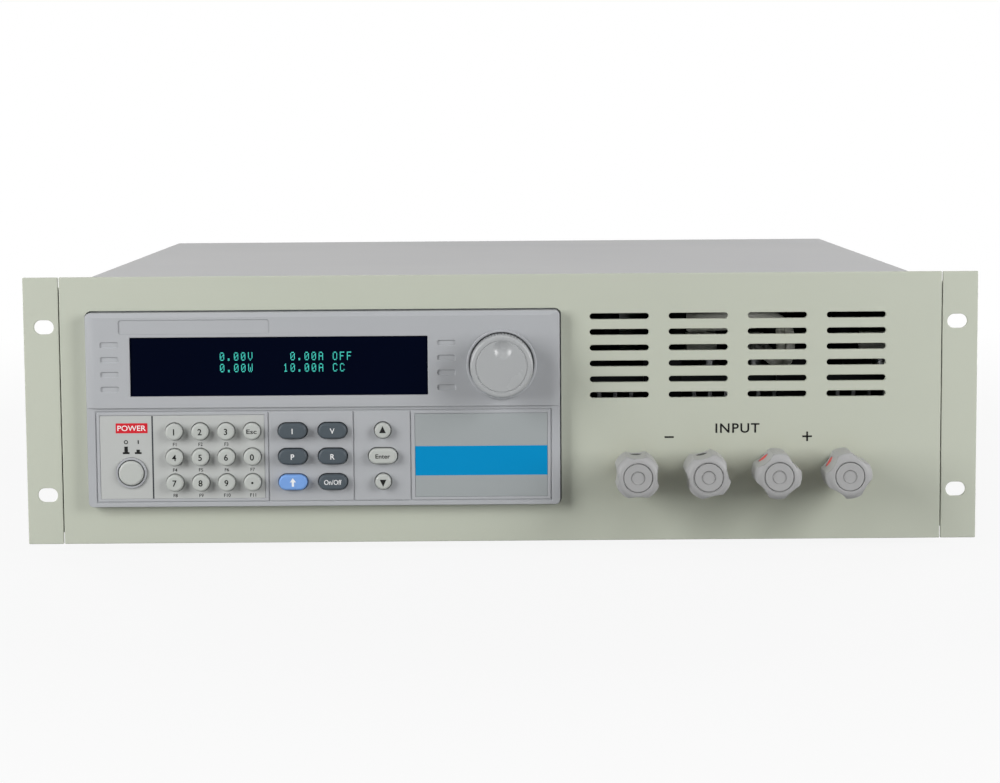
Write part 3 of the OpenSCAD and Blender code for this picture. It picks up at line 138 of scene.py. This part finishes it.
class Finish:
    """A material with its grain, tint patches and gloss patches."""

    def __init__(self, name, color, second, rough, grain=900, bump=0.1, patch=14, metal=0.0, specular=0.2):
        self.material = bpy.data.materials.new(name)
        self.material.use_nodes = True
        self.tree = self.material.node_tree
        self.shader = self.tree.nodes["Principled BSDF"]
        self.shader.inputs["Metallic"].default_value = metal
        self.shader.inputs["Specular IOR Level"].default_value = specular
        self.grain = self.tree.nodes.new("ShaderNodeGroup")
        self.grain.node_tree = GRAIN
        self.grain.inputs["Grain"].default_value = grain
        self.grain.inputs["Patch"].default_value = patch
        tint = self.mix(linear(*color), linear(*second), self.grain.outputs["Patches"])
        self.color = tint
        spread = self.tree.nodes.new("ShaderNodeMapRange")
        spread.inputs["From Min"].default_value = 0.3
        spread.inputs["From Max"].default_value = 0.7
        spread.inputs["To Min"].default_value = rough[0]
        spread.inputs["To Max"].default_value = rough[1]
        self.link(self.grain.outputs["Patches"], spread.inputs["Value"])
        self.link(spread.outputs["Result"], self.shader.inputs["Roughness"])
        relief = self.tree.nodes.new("ShaderNodeBump")
        relief.inputs["Strength"].default_value = bump
        relief.inputs["Distance"].default_value = 0.0002
        self.link(self.grain.outputs["Height"], relief.inputs["Height"])
        self.link(relief.outputs["Normal"], self.shader.inputs["Normal"])
        self.link(self.color, self.shader.inputs["Base Color"])

    def link(self, out, into):
        self.tree.links.new(out, into)

    def mix(self, first, second, factor):
        """Mixes two colours, each a constant or a socket."""
        node = self.tree.nodes.new("ShaderNodeMix")
        node.data_type = "RGBA"
        for socket, value in ((node.inputs[6], first), (node.inputs[7], second)):
            if isinstance(value, tuple):
                socket.default_value = value
            else:
                self.link(value, socket)
        self.link(factor, node.inputs[0])
        return node.outputs[2]

    def math(self, operation, first, second):
        node = self.tree.nodes.new("ShaderNodeMath")
        node.operation = operation
        for socket, value in zip(node.inputs, (first, second)):
            if isinstance(value, (int, float)):
                socket.default_value = value
            else:
                self.link(value, socket)
        return node.outputs[0]

    def inside(self, low, high):
        """Mask of the points between two corners, in metres in the scene; None leaves an axis free."""
        place = self.tree.nodes.new("ShaderNodeTexCoord")
        split = self.tree.nodes.new("ShaderNodeSeparateXYZ")
        self.link(place.outputs["Object"], split.inputs[0])
        mask = None
        for axis, (a, b) in enumerate(zip(low, high)):
            if a is None:
                continue
            both = self.math("MULTIPLY", self.math("GREATER_THAN", split.outputs[axis], a),
                             self.math("LESS_THAN", split.outputs[axis], b))
            mask = both if mask is None else self.math("MULTIPLY", mask, both)
        return mask

    def print_over(self, color, mask):
        """Prints a colour over the finish where the mask is one."""
        self.color = self.mix(self.color, linear(*color), mask)
        self.link(self.color, self.shader.inputs["Base Color"])
        return self


panel_paint = Finish("panel_paint", (186, 190, 176), (180, 184, 171), (0.42, 0.5),
                     grain=1500, bump=0.12, patch=6)
cover_paint = Finish("cover_paint", (192, 192, 192), (186, 186, 187), (0.68, 0.76),
                     grain=1500, bump=0.12, patch=6,
                     specular=0.04)
moulding = Finish("bezel_plastic", (170, 172, 175), (165, 167, 170), (0.42, 0.52),
                  grain=2400, bump=0.1, patch=16)
pale_plastic = Finish("pale_key_plastic", (181, 184, 180), (176, 179, 175), (0.34, 0.42),
                      grain=3000, bump=0.05, patch=60)
dial_plastic = Finish("dial_plastic", (162, 164, 165), (158, 160, 161), (0.25, 0.28),
                      grain=3000, bump=0.02, patch=40,
                      specular=0.5)
slate_plastic = Finish("slate_key_plastic", (77, 85, 91), (72, 80, 86), (0.34, 0.42),
                       grain=3000, bump=0.05, patch=60)
blue_plastic = Finish("blue_key_plastic", (122, 162, 220), (112, 152, 212), (0.36, 0.44),
                      grain=3000, bump=0.05, patch=60)
knob_plastic = Finish("knob_plastic", (163, 163, 163), (157, 157, 157), (0.3, 0.38),
                      grain=2600, bump=0.05, patch=40)
black_plastic = Finish("black_plastic", (34, 34, 36), (26, 26, 28), (0.42, 0.55),
                       grain=2400, bump=0.1, patch=30)
foot_rubber = Finish("foot_rubber", (30, 30, 31), (22, 22, 23), (0.7, 0.8), grain=2600, bump=0.2, patch=40)
board_mask = Finish("board_mask", (22, 84, 46), (16, 66, 36), (0.32, 0.5), grain=1400, bump=0.15, patch=90)
white_plug = Finish("white_plug", (226, 226, 220), (214, 214, 206), (0.45, 0.55),
                    grain=2400, bump=0.05, patch=60)
black_print = Finish("black_print", (14, 14, 14), (10, 10, 10), (0.5, 0.6), grain=3000, bump=0.03, patch=50)
red_print = Finish("red_print", (203, 34, 48), (192, 28, 42), (0.45, 0.55), grain=3000, bump=0.03, patch=50)
white_print = Finish("white_print", (238, 238, 238), (228, 228, 228), (0.5, 0.6),
                     grain=3000, bump=0.03, patch=50)
red_dot = Finish("red_dot", (224, 56, 56), (212, 48, 50), (0.35, 0.45), grain=3000, bump=0.05, patch=50)
winding_tape = Finish("winding_tape", (196, 148, 66), (168, 120, 46), (0.35, 0.5),
                      grain=700, bump=0.3, patch=40)
display_glass = Finish("display_glass", (6, 8, 18), (3, 4, 12), (0.12, 0.2), grain=3000, bump=0.01, patch=20,
                       specular=0.1)
keypad_print = Finish("keypad_print", (181, 183, 181), (176, 178, 176), (0.42, 0.5),
                      grain=2600, bump=0.06, patch=16)
divider_low, divider_high = (at(x, 0, z) for x, z in zip(DIVIDER_X, DIVIDER_Z))
keypad_print.print_over((58, 60, 64), keypad_print.inside((divider_low.x, None, divider_low.z),
                                                          (divider_high.x, None, divider_high.z)))
side_print = Finish("side_print", (157, 162, 163), (153, 158, 159), (0.42, 0.5),
                    grain=2600, bump=0.06, patch=16,
                    specular=0.1)
band_foot, band_head = (at(0, 0, z).z for z in BLUE_BAND_Z)
side_print.print_over((0, 135, 190), side_print.inside((None, None, band_foot), (None, None, band_head)))


def metal_finish(name, color, second, rough, streak=60):
    """Sheet or turned metal with fine streaks in its gloss."""
    made = Finish(name, color, second, rough, grain=1200, bump=0.05, patch=20, metal=1.0)
    streaks = made.tree.nodes.new("ShaderNodeGroup")
    streaks.node_tree = BRUSH
    streaks.inputs["Streak"].default_value = streak
    spread = made.tree.nodes.new("ShaderNodeMapRange")
    spread.inputs["To Min"].default_value = rough[0]
    spread.inputs["To Max"].default_value = rough[1]
    made.link(streaks.outputs["Streaks"], spread.inputs["Value"])
    made.link(spread.outputs["Result"], made.shader.inputs["Roughness"])
    return made


zinc = metal_finish("zinc_sheet", (196, 198, 200), (184, 187, 190), (0.25, 0.42))
plated = metal_finish("plated_screw", (205, 205, 205), (190, 190, 192), (0.2, 0.34), streak=200)
alloy = metal_finish("extruded_alloy", (206, 208, 210), (192, 195, 198), (0.3, 0.45))
brass = metal_finish("turned_brass", (208, 176, 104), (192, 160, 92), (0.22, 0.36), streak=200)
tinned = metal_finish("tinned_copper", (200, 194, 184), (186, 180, 170), (0.25, 0.4), streak=120)

# The top of the heat sinks, seen through the vents, is painted near black: painted shade standing in for the
# dark inside of the case
sink_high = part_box("heatsinks")[1]
alloy.print_over((52, 54, 56), alloy.inside((None, None, sink_high.z - SINK_SHADED_TOP * MM),
                                            (None, None, sink_high.z + MM)))
bar_low, bar_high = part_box("bus_bars")
tinned.print_over((38, 38, 40), tinned.inside((None, None, bar_low.z + BAR_BARE * MM),
                                              (None, None, bar_high.z + MM)))

smoked = Finish("smoked_window", (2, 7, 26), (2, 5, 21), (0.12, 0.16),
                grain=3000, bump=0.0, patch=8, specular=0.012)

glow = Finish("glowing_dots", (40, 150, 140), (34, 140, 130), (0.4, 0.5), grain=3000, bump=0.0, patch=60)
glow.shader.inputs["Emission Color"].default_value = linear(90, 235, 220)
glow.shader.inputs["Emission Strength"].default_value = 0.75


def paint(node, finish):
    """Gives a CAD node, which stays shown, its finish."""
    mesh = nodes[node].data
    mesh.materials.clear()
    mesh.materials.append(finish.material)


for name in PALE_KEYS:
    paint(name, pale_plastic)
for name in SLATE_KEYS:
    paint(name, slate_plastic)
paint("key_shift", blue_plastic)
paint("display_module", display_glass)
for name in ("key_board", "control_board"):
    paint(name, board_mask)
for name in ("power_switch", "terminal_bushings", "power_transistors", "fan_frames", "fan_rotor_left",
             "fan_rotor_right", "fuse_drawer"):
    paint(name, black_plastic)
for name in ("encoder_body", "serial_port"):
    paint(name, zinc)
for name in ("clamp_washer_1", "clamp_washer_2", "clamp_washer_3", "clamp_washer_4"):
    paint(name, plated)
paint("feet", foot_rubber)
paint("heatsinks", alloy)
paint("terminal_studs", brass)
paint("bus_bars", tinned)
paint("transformer", winding_tape)
paint("keypad_inlay", keypad_print)
paint("side_inlay", side_print)
paint("display_window", smoked)


# Mesh work

def add_piece(name, bm, finishes, body, replaces=(), smooth=30):
    """Makes a bmesh a piece of the object, riding on a body."""
    mesh = bpy.data.meshes.new(name)
    bm.to_mesh(mesh)
    bm.free()
    for finish in finishes:
        mesh.materials.append(finish.material)
    mesh.shade_smooth()
    mesh.set_sharp_from_angle(angle=math.radians(smooth))
    piece = bpy.data.objects.new(name, mesh)
    scene.collection.objects.link(piece)
    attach(piece, body)
    if replaces:
        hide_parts(*replaces)
    return piece


def cad_copy(node):
    """A CAD node's mesh, merged and with its flat triangles joined."""
    bm = bmesh.new()
    bm.from_mesh(nodes[node].data)
    bmesh.ops.remove_doubles(bm, verts=bm.verts, dist=1e-6)
    bmesh.ops.dissolve_limit(bm, angle_limit=math.radians(0.2), verts=bm.verts, edges=bm.edges)
    return bm


def soften(bm, width, steps=2, where=None, angle=40):
    """Rounds the sharp edges of a mesh, or those of them whose middle passes a test."""
    sharp = [e for e in bm.edges if e.is_manifold and e.calc_face_angle(0) > math.radians(angle)
             and (where is None or where((e.verts[0].co + e.verts[1].co) / 2))]
    bmesh.ops.bevel(bm, geom=sharp, offset=width * MM, segments=steps, profile=0.5, affect="EDGES",
                    material=-1, clamp_overlap=False)


def shade_evenly(piece):
    """Weighs a piece's normals by face size, so that softened edges don't tint its flat faces."""
    even = piece.modifiers.new("even_shading", "WEIGHTED_NORMAL")
    even.keep_sharp = True


def dressed(node, finishes, body, width, choose=None, steps=2, where=None):
    """A CAD node with softened edges, in its place; choose picks the finish of a face by its middle."""
    bm = cad_copy(node)
    if choose:
        for f in bm.faces:
            f.material_index = choose(f.calc_center_median(), f.normal)
    soften(bm, width, steps, where)
    made = add_piece(node + "_dressed", bm, finishes, body, (node,))
    shade_evenly(made)
    return made


bezel_low, bezel_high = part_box("bezel")


def outside_bezel(middle):
    """The edges that the bezel covers stay as they are."""
    return not (bezel_low.x < middle.x < bezel_high.x and bezel_low.z < middle.z < bezel_high.z)


dressed("front_panel", [panel_paint], "chassis", 0.4, where=outside_bezel)
dressed("rack_ears", [panel_paint], "chassis", 0.4)
dressed("top_cover", [cover_paint], "chassis", 0.3)
dressed("rear_panel", [cover_paint], "chassis", 0.25)
dressed("base_tray", [zinc], "chassis", 0.25)
dressed("bezel", [moulding], "chassis", 0.3)
dressed("dial", [dial_plastic], "dial", 0.12)


def islands(bm):
    """The loose parts of a mesh, each a list of faces."""
    left = set(bm.faces)
    while left:
        part, edge = [], [left.pop()]
        while edge:
            f = edge.pop()
            part.append(f)
            near = {g for e in f.edges for g in e.link_faces} & left
            left -= near
            edge.extend(near)
        yield part


for i, name in enumerate(KNOBS):
    bm = cad_copy(name)
    for part in islands(bm):
        xs = [v.co.x for f in part for v in f.verts]
        for f in part:
            f.material_index = 1 if max(xs) - min(xs) < DOT_SPAN * MM else 0
    soften(bm, 0.35, 3)
    dot = red_dot if i > 1 else black_plastic
    made = add_piece(name + "_dressed", bm, [knob_plastic, dot], name, (name,))
    shade_evenly(made)

board_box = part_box("power_boards")


def board_part(middle, normal):
    """Green board, white plugs at the front, black capacitors on top, steel spacers below."""
    low, high = board_box
    if middle.z > high.z - PLUG_TALL * MM:
        return 1 if middle.y < low.y + PLUG_DEEP * MM else 2
    return 3 if middle.z < low.z + SPACER_TALL * MM else 0


dressed("power_boards", [board_mask, white_plug, black_plastic, zinc], "chassis", 0.2,
        board_part)


def inlet_part(middle, normal):
    """Pins of the mains socket are metal."""
    low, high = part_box("mains_inlet")
    x, z = (low.x + high.x) / 2, (low.z + high.z) / 2 + SOCKET_RISE * MM
    wide, tall = PIN_HALF
    deep, shallow = PIN_Y
    near = any(abs(middle.x - x - px * MM) < wide * MM and abs(middle.z - z - pz * MM) < tall * MM
               for px, pz in ((-7, -2), (0, 2), (7, -2)))
    return 1 if near and high.y - deep * MM < middle.y < high.y - shallow * MM else 0


dressed("mains_inlet", [black_plastic, plated], "chassis", 0.3, inlet_part)


def cross_recess(bm, face, reach=1.75 * MM, half=0.45 * MM, depth=1.1 * MM):
    """Sinks a cross into the flat round top of a screw head."""
    middle, out = face.calc_center_median(), face.normal.copy()
    side = out.orthogonal().normalized()
    up = out.cross(side)
    rim = list(face.edges)
    corners = []
    for k in range(4):
        across = side * math.cos(k * math.pi / 2) + up * math.sin(k * math.pi / 2)
        along = out.cross(across)
        corners += [across * reach - along * half, across * reach + along * half,
                    across * half + along * half]
    ring = [bm.verts.new(middle + c) for c in corners]
    lip = [bm.edges.new((ring[k - 1], ring[k])) for k in range(len(ring))]
    bmesh.ops.delete(bm, geom=[face], context="FACES_ONLY")
    bmesh.ops.triangle_fill(bm, use_beauty=True, use_dissolve=False, edges=rim + lip, normal=out)
    walls = bmesh.ops.extrude_edge_only(bm, edges=lip)["geom"]
    sunk = [v for v in walls if isinstance(v, bmesh.types.BMVert)]
    for v in sunk:
        v.co = middle + (v.co - middle) * 0.6 - out * depth
    bottom = [e for e in {e for v in sunk for e in v.link_edges} if all(v in sunk for v in e.verts)]
    bmesh.ops.triangle_fill(bm, use_beauty=True, use_dissolve=False, edges=bottom, normal=out)


bm = cad_copy("chassis_screws")
tops = [(f.calc_center_median(), f.normal.copy()) for f in bm.faces if len(f.verts) > 12
        and HEAD_AREA[0] * MM * MM < f.calc_area() < HEAD_AREA[1] * MM * MM]
soften(bm, 0.35, 3, where=lambda middle: any((middle - top).length < HEAD_REACH * MM for top, out in tops))
for top, out in tops:
    cross_recess(bm, min((f for f in bm.faces if f.normal.dot(out) > 0.99),
                         key=lambda f: (f.calc_center_median() - top).length))
bmesh.ops.recalc_face_normals(bm, faces=bm.faces)
add_piece("screws_dressed", bm, [plated], "chassis", ("chassis_screws",))


# Insulated leads that loop from one power board to the other, close behind the vents

def add_lead(bm, points, radius):
    """Round lead along a smooth path through points given in the panel's frame."""
    spots = [at(*p) for p in points]
    path = []
    for a, b, c, d in zip([spots[0]] + spots[:-2], spots[:-1], spots[1:], spots[2:] + [spots[-1]]):
        for k in range(6):
            t = k / 6
            path.append(b + (c - a) * (t / 2) + (2 * a - 5 * b + 4 * c - d) * (t * t / 2)
                        + (3 * b - a - 3 * c + d) * (t ** 3 / 2))
    path.append(spots[-1])
    last = None
    for k, spot in enumerate(path):
        ahead = path[min(k + 1, len(path) - 1)] - path[max(k - 1, 0)]
        turn = ahead.to_track_quat("Z", "Y").to_matrix().to_4x4()
        made = bmesh.ops.create_circle(bm, cap_ends=k in (0, len(path) - 1), segments=14, radius=radius * MM,
                                       matrix=Matrix.Translation(spot) @ turn)
        ring = list({e for v in made["verts"] for e in v.link_edges})
        if last:
            bmesh.ops.bridge_loops(bm, edges=last + ring)
        last = ring


bm = bmesh.new()
for shift in (0, LEAD_PITCH):
    add_lead(bm, [(104 + shift, 78, 98), (101 + shift / 2, 58, 111), (98, 24 + shift, 111 - shift),
                  (101, 14, 112.5 - shift), (122, 13, 113 - shift), (141, 14, 112 - shift / 2),
                  (147.8 - shift, 15, 104), (147.8 - shift, 16, 92), (146 - shift, 32, 88),
                  (140 - shift, 74, 93)], LEAD_R)
bmesh.ops.recalc_face_normals(bm, faces=bm.faces)
add_piece("board_leads", bm, [white_plug], "chassis")


# Lettering and marks

def letters(words, bold, spread):
    """Flat lettering as a mesh in its own plane, one unit in size; bold is a share of that."""
    curve = bpy.data.curves.new("letters", "FONT")
    curve.body = words
    curve.space_character = spread
    curve.offset = bold
    curve.extrude = 0.02 * MM
    holder = bpy.data.objects.new("letters", curve)
    scene.collection.objects.link(holder)
    bpy.context.view_layer.update()
    mesh = bpy.data.meshes.new_from_object(holder.evaluated_get(bpy.context.evaluated_depsgraph_get()))
    bpy.data.objects.remove(holder)
    bpy.data.curves.remove(curve)
    return mesh


def add_letters(bm, words, place, height, width=None, bold=0.0, spread=1.0, index=0):
    """Letters facing the front at a place, scaled to a height, or to a height and a width, in millimetres."""
    mesh = letters(words, bold, spread)
    xs = [v.co.x for v in mesh.vertices]
    ys = [v.co.y for v in mesh.vertices]
    wide, tall = max(xs) - min(xs), max(ys) - min(ys)
    up = height * MM / tall
    across = width * MM / wide if width else up
    mesh.transform(Matrix.Translation((-(max(xs) + min(xs)) / 2, -(max(ys) + min(ys)) / 2, 0)))
    mesh.transform(Matrix.Diagonal((across, up, 1, 1)))
    mesh.transform(Matrix.Translation(place) @ Matrix.Rotation(math.radians(90), 4, "X"))
    before = set(bm.faces)
    bm.from_mesh(mesh)
    for f in set(bm.faces) - before:
        f.material_index = index
    bpy.data.meshes.remove(mesh)


def add_plate(bm, place, width, height, thick=0.05, round_off=0.0, index=0):
    """Thin printed plate facing the front, with rounded corners."""
    made = bmesh.ops.create_cube(bm, size=1.0, matrix=Matrix.Translation(place)
                                 @ Matrix.Diagonal((width * MM, thick * MM, height * MM, 1)))
    faces = {f for v in made["verts"] for f in v.link_faces}
    for f in faces:
        f.material_index = index
    if round_off:
        along = [e for e in {e for v in made["verts"] for e in v.link_edges}
                 if abs((e.verts[0].co - e.verts[1].co).normalized().y) > 0.9]
        bmesh.ops.bevel(bm, geom=along, offset=round_off * MM, segments=4, profile=0.5, affect="EDGES",
                        material=-1)


def add_ring(bm, place, outer, inner, thick=0.05, index=0):
    """Thin printed ring facing the front."""
    turn = Matrix.Translation(place) @ Matrix.Rotation(math.radians(90), 4, "X")
    rim = []
    for radius in (outer, inner):
        made = bmesh.ops.create_circle(bm, cap_ends=False, segments=40, radius=radius * MM, matrix=turn)
        rim += list({e for v in made["verts"] for e in v.link_edges})
    faces = bmesh.ops.bridge_loops(bm, edges=rim)["faces"]
    for f in faces:
        f.material_index = index


def front_of(node):
    """Middle of a node's front, just before its face."""
    low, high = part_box(node)
    return Vector(((low.x + high.x) / 2, low.y - PRINT_LIFT * MM, (low.z + high.z) / 2))


def key_legend(node, words, finish, height, width=None, bold=0.01):
    bm = bmesh.new()
    add_letters(bm, words, front_of(node), height=height, width=width, bold=bold)
    add_piece(node + "_legend", bm, [finish], node)


for digit in "0123456789":
    key_legend("key_" + digit, digit, black_print, 3.2, bold=0.016)
key_legend("key_escape", "Esc", black_print, 2.3, 5.2, 0.014)
key_legend("key_enter", "Enter", black_print, 2.2, 7.4, 0.014)
key_legend("key_on_off", "On/Off", white_print, 2.5, 8.8, 0.004)
for node, words in (("key_current_set", "I"), ("key_voltage_set", "V"), ("key_power_set", "P"),
                    ("key_resistance_set", "R")):
    key_legend(node, words, white_print, 2.7)

bm = bmesh.new()
place = front_of("key_point")
bmesh.ops.create_circle(bm, cap_ends=True, segments=24, radius=0.6 * MM,
                        matrix=Matrix.Translation(place) @ Matrix.Rotation(math.radians(90), 4, "X"))
add_piece("key_point_legend", bm, [black_print], "key_point")


def add_triangle(bm, place, width, height, turn=0):
    """Printed triangle pointing up, or down after half a turn."""
    made = bmesh.ops.create_circle(bm, cap_ends=True, segments=3, radius=1.0)
    around = Matrix.Translation(place) @ Matrix.Rotation(math.radians(turn), 4, "Y") @ Matrix.Rotation(
        math.radians(90), 4, "X") @ Matrix.Diagonal((width * MM / 1.732, height * MM / 1.5, 1, 1))
    bmesh.ops.transform(bm, matrix=around, verts=made["verts"])


for node, turn in (("key_up", 0), ("key_down", 180)):
    bm = bmesh.new()
    add_triangle(bm, front_of(node), 3.4, 3.6, turn)
    add_piece(node + "_legend", bm, [black_print], node)

bm = bmesh.new()
place = front_of("key_shift")
add_triangle(bm, place + Vector((0, 0, 0.9 * MM)), 3.0, 2.2)
add_plate(bm, place + Vector((0, 0, -0.9 * MM)), 1.1, 2.2)
add_piece("key_shift_legend", bm, [white_print], "key_shift")

# Small marks under the number keys, plain function numbers
bm = bmesh.new()
inlay_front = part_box("keypad_inlay")[0].y - PRINT_LIFT * MM
for i, node in enumerate(["key_1", "key_2", "key_3", None, "key_4", "key_5", "key_6", "key_0",
                          "key_7", "key_8", "key_9", "key_point"]):
    if node:
        middle = front_of(node)
        place = Vector((middle.x, inlay_front, middle.z - LEGEND_DROP * MM))
        add_letters(bm, "F" + str(i + 1 if i < 3 else i), place, height=1.75, bold=0.012)
for words, x in (("O", -190), ("I", -183.8)):
    if words == "O":
        add_ring(bm, Vector((at(x, 0, 0).x, inlay_front, at(0, 0, SIGN_Z).z)), 1.05, 0.62)
    else:
        add_plate(bm, Vector((at(x, 0, 0).x, inlay_front, at(0, 0, SIGN_Z).z)), 0.55, 1.9)
for x, tall in ((-190, 2.9), (-183.9, 1.3)):
    foot = Vector((at(x, 0, 0).x, inlay_front, at(0, 0, PICTURE_Z).z))
    add_plate(bm, foot, 3.4, 0.95)
    add_plate(bm, foot + Vector((0, 0, (0.45 + tall / 2) * MM)), 1.75, tall)
add_piece("keypad_marks", bm, [black_print], "chassis")

bm = bmesh.new()
label = Vector((at(-187, 0, 0).x, inlay_front, at(0, 0, 59.75).z))
add_plate(bm, label, 16.1, 5.1, round_off=0.25, index=0)
add_letters(bm, "POWER", label - Vector((0, 0.04 * MM, 0)), height=2.75, width=14.3, bold=0.006, index=1)
add_piece("power_label", bm, [red_print, white_print], "chassis")

bm = bmesh.new()
face = -PRINT_LIFT
add_letters(bm, "INPUT", at(119.9, face, 57.05), height=4.9, width=22.35, spread=1.15, bold=0.016)
add_plate(bm, at(85.2, face, 52.7), 4.7, 0.9)
add_plate(bm, at(155.3, face, 52.6), 4.9, 0.9)
add_plate(bm, at(155.3, face, 52.6), 0.9, 4.9)
add_piece("panel_marks", bm, [black_print], "chassis")


# Characters of the display: rows of five dots from the top
DOTS = {
    "0": ".###. #...# #..## #.#.# ##..# #...# .###.", "1": "..#.. .##.. ..#.. ..#.. ..#.. ..#.. .###.",
    ".": "..... ..... ..... ..... ..... .##.. .##..", "V": "#...# #...# #...# #...# #...# .#.#. ..#..",
    "A": ".###. #...# #...# ##### #...# #...# #...#", "W": "#...# #...# #...# #.#.# #.#.# #.#.# .#.#.",
    "O": ".###. #...# #...# #...# #...# #...# .###.", "F": "##### #.... #.... ####. #.... #.... #....",
    "C": ".###. #...# #.... #.... #.... #...# .###.",
}


def display_lines(lines, left, top, cell=0.45, tall=0.61, pitch_x=3.56, pitch_z=5.8):
    """Lit dot characters, drawn on the window's front."""
    bm = bmesh.new()
    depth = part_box("display_window")[0].y - 0.02 * MM
    turn = Matrix.Rotation(math.radians(90), 4, "X")
    for row, line in enumerate(lines):
        for column, sign in enumerate(line):
            for j, dots in enumerate(DOTS.get(sign, "").split()):
                for i, lit in enumerate(dots):
                    if lit == "#":
                        spot = at(left + (i + 0.5) * cell + column * pitch_x, 0,
                                  top - row * pitch_z - (j + 0.5) * tall)
                        bmesh.ops.create_grid(bm, x_segments=1, y_segments=1, size=0.5 * MM,
                                              matrix=Matrix.Translation((spot.x, depth, spot.z)) @ turn
                                              @ Matrix.Diagonal((cell * 0.66, tall * 0.82, 1, 1)))
    return add_piece("display_characters", bm, [glow], "chassis")


display_lines(["0.00V     0.00A OFF", "0.00W    10.00A CC"], -141.7, 98.0)


# Camera, light and floor

def camera_matrix(place, yaw, pitch, roll):
    """A camera that looks along +Y, turned, tipped down and rolled by angles in degrees."""
    cy, sy = math.cos(math.radians(yaw)), math.sin(math.radians(yaw))
    cp, sp = math.cos(math.radians(pitch)), math.sin(math.radians(pitch))
    cr, sr = math.cos(math.radians(roll)), math.sin(math.radians(roll))
    ahead = Vector((sy * cp, cy * cp, -sp))
    right = Vector((cy, -sy, 0))
    down = ahead.cross(right)
    across, below = cr * right + sr * down, cr * down - sr * right
    turned = Matrix((across, -below, -ahead)).transposed().to_4x4()
    return Matrix.Translation(place) @ turned


camera = bpy.data.objects.new("camera", bpy.data.cameras.new("camera"))
camera.data.sensor_width = 36
camera.data.lens = 92.36
camera.matrix_world = camera_matrix(at(-1.91, -1293.5, 212.55), 0.06, 6.0, 0.41)
camera.data.clip_start, camera.data.clip_end = 0.05, 50
scene.collection.objects.link(camera)
scene.camera = camera


def soft_box(name, place, aim, width, height, power):
    """Softbox with its long side upright."""
    lamp = bpy.data.objects.new(name, bpy.data.lights.new(name, "AREA"))
    lamp.data.shape = "RECTANGLE"
    lamp.data.size, lamp.data.size_y = width, height
    lamp.data.energy = power
    turned = (Vector(aim) - Vector(place)).to_track_quat("-Z", "Y").to_matrix().to_4x4()
    lamp.matrix_world = Matrix.Translation(place) @ turned
    scene.collection.objects.link(lamp)


soft_box("left_softbox", (-1.1, -0.9, 0.5), (0, -0.23, 0.07), 0.6, 0.9, 16.6)
soft_box("right_softbox", (1.1, -0.9, 0.5), (0, -0.23, 0.07), 0.6, 0.9, 15.2)
soft_box("rear_left_softbox", (-1.1, 1.1, 0.5), (0, 0.2, 0.07), 0.6, 0.9, 14)
soft_box("rear_right_softbox", (1.1, 1.1, 0.5), (0, 0.2, 0.07), 0.6, 0.9, 14)
soft_box("top_softbox", (0, 0.1, 1.5), (0, 0.05, 0.1), 1.0, 0.8, 4.5)

def background_rays(tree):
    """One for the rays that see the white background: from the camera, off gloss and through glass."""
    rays = tree.nodes.new("ShaderNodeLightPath")
    total = rays.outputs["Is Camera Ray"]
    for kind in ("Is Glossy Ray", "Is Transmission Ray"):
        either = tree.nodes.new("ShaderNodeMath")
        either.operation = "MAXIMUM"
        tree.links.new(total, either.inputs[0])
        tree.links.new(rays.outputs[kind], either.inputs[1])
        total = either.outputs[0]
    return total


world = bpy.data.worlds.new("studio")
scene.world = world
world.use_nodes = True
air = world.node_tree
backing = air.nodes["Background"]
strength = air.nodes.new("ShaderNodeMapRange")
strength.inputs["To Min"].default_value = 0.05
strength.inputs["To Max"].default_value = 1.0
backing.inputs["Color"].default_value = (1, 1, 1, 1)
air.links.new(background_rays(air), strength.inputs["Value"])
air.links.new(strength.outputs["Result"], backing.inputs["Strength"])

floor_material = bpy.data.materials.new("pale_floor")
floor_material.use_nodes = True
tree = floor_material.node_tree
shader = tree.nodes["Principled BSDF"]
shader.inputs["Base Color"].default_value = linear(160, 160, 160)
shader.inputs["Roughness"].default_value = 0.9
bright = tree.nodes.new("ShaderNodeEmission")
bright.inputs["Strength"].default_value = 1.0
share = tree.nodes.new("ShaderNodeMath")
share.operation = "MULTIPLY"
ground, away, fade = (tree.nodes.new("ShaderNode" + kind) for kind in ("TexCoord", "VectorMath", "MapRange"))
away.operation = "LENGTH"
fade.inputs["From Min"].default_value = 0.5
fade.inputs["From Max"].default_value = 1.2
fade.inputs["To Min"].default_value = 0.9
fade.inputs["To Max"].default_value = 1.0
tree.links.new(ground.outputs["Object"], away.inputs[0])
tree.links.new(away.outputs["Value"], fade.inputs["Value"])
tree.links.new(fade.outputs["Result"], share.inputs[1])
blend = tree.nodes.new("ShaderNodeMixShader")
tree.links.new(background_rays(tree), share.inputs[0])
tree.links.new(share.outputs[0], blend.inputs["Fac"])
tree.links.new(shader.outputs[0], blend.inputs[1])
tree.links.new(bright.outputs[0], blend.inputs[2])
tree.links.new(blend.outputs[0], tree.nodes["Material Output"].inputs["Surface"])

bm = bmesh.new()
bmesh.ops.create_grid(bm, x_segments=8, y_segments=8, size=6.0)
floor_mesh = bpy.data.meshes.new("floor")
bm.to_mesh(floor_mesh)
bm.free()
floor_mesh.materials.append(floor_material)
floor = bpy.data.objects.new("floor", floor_mesh)
scene.collection.objects.link(floor)
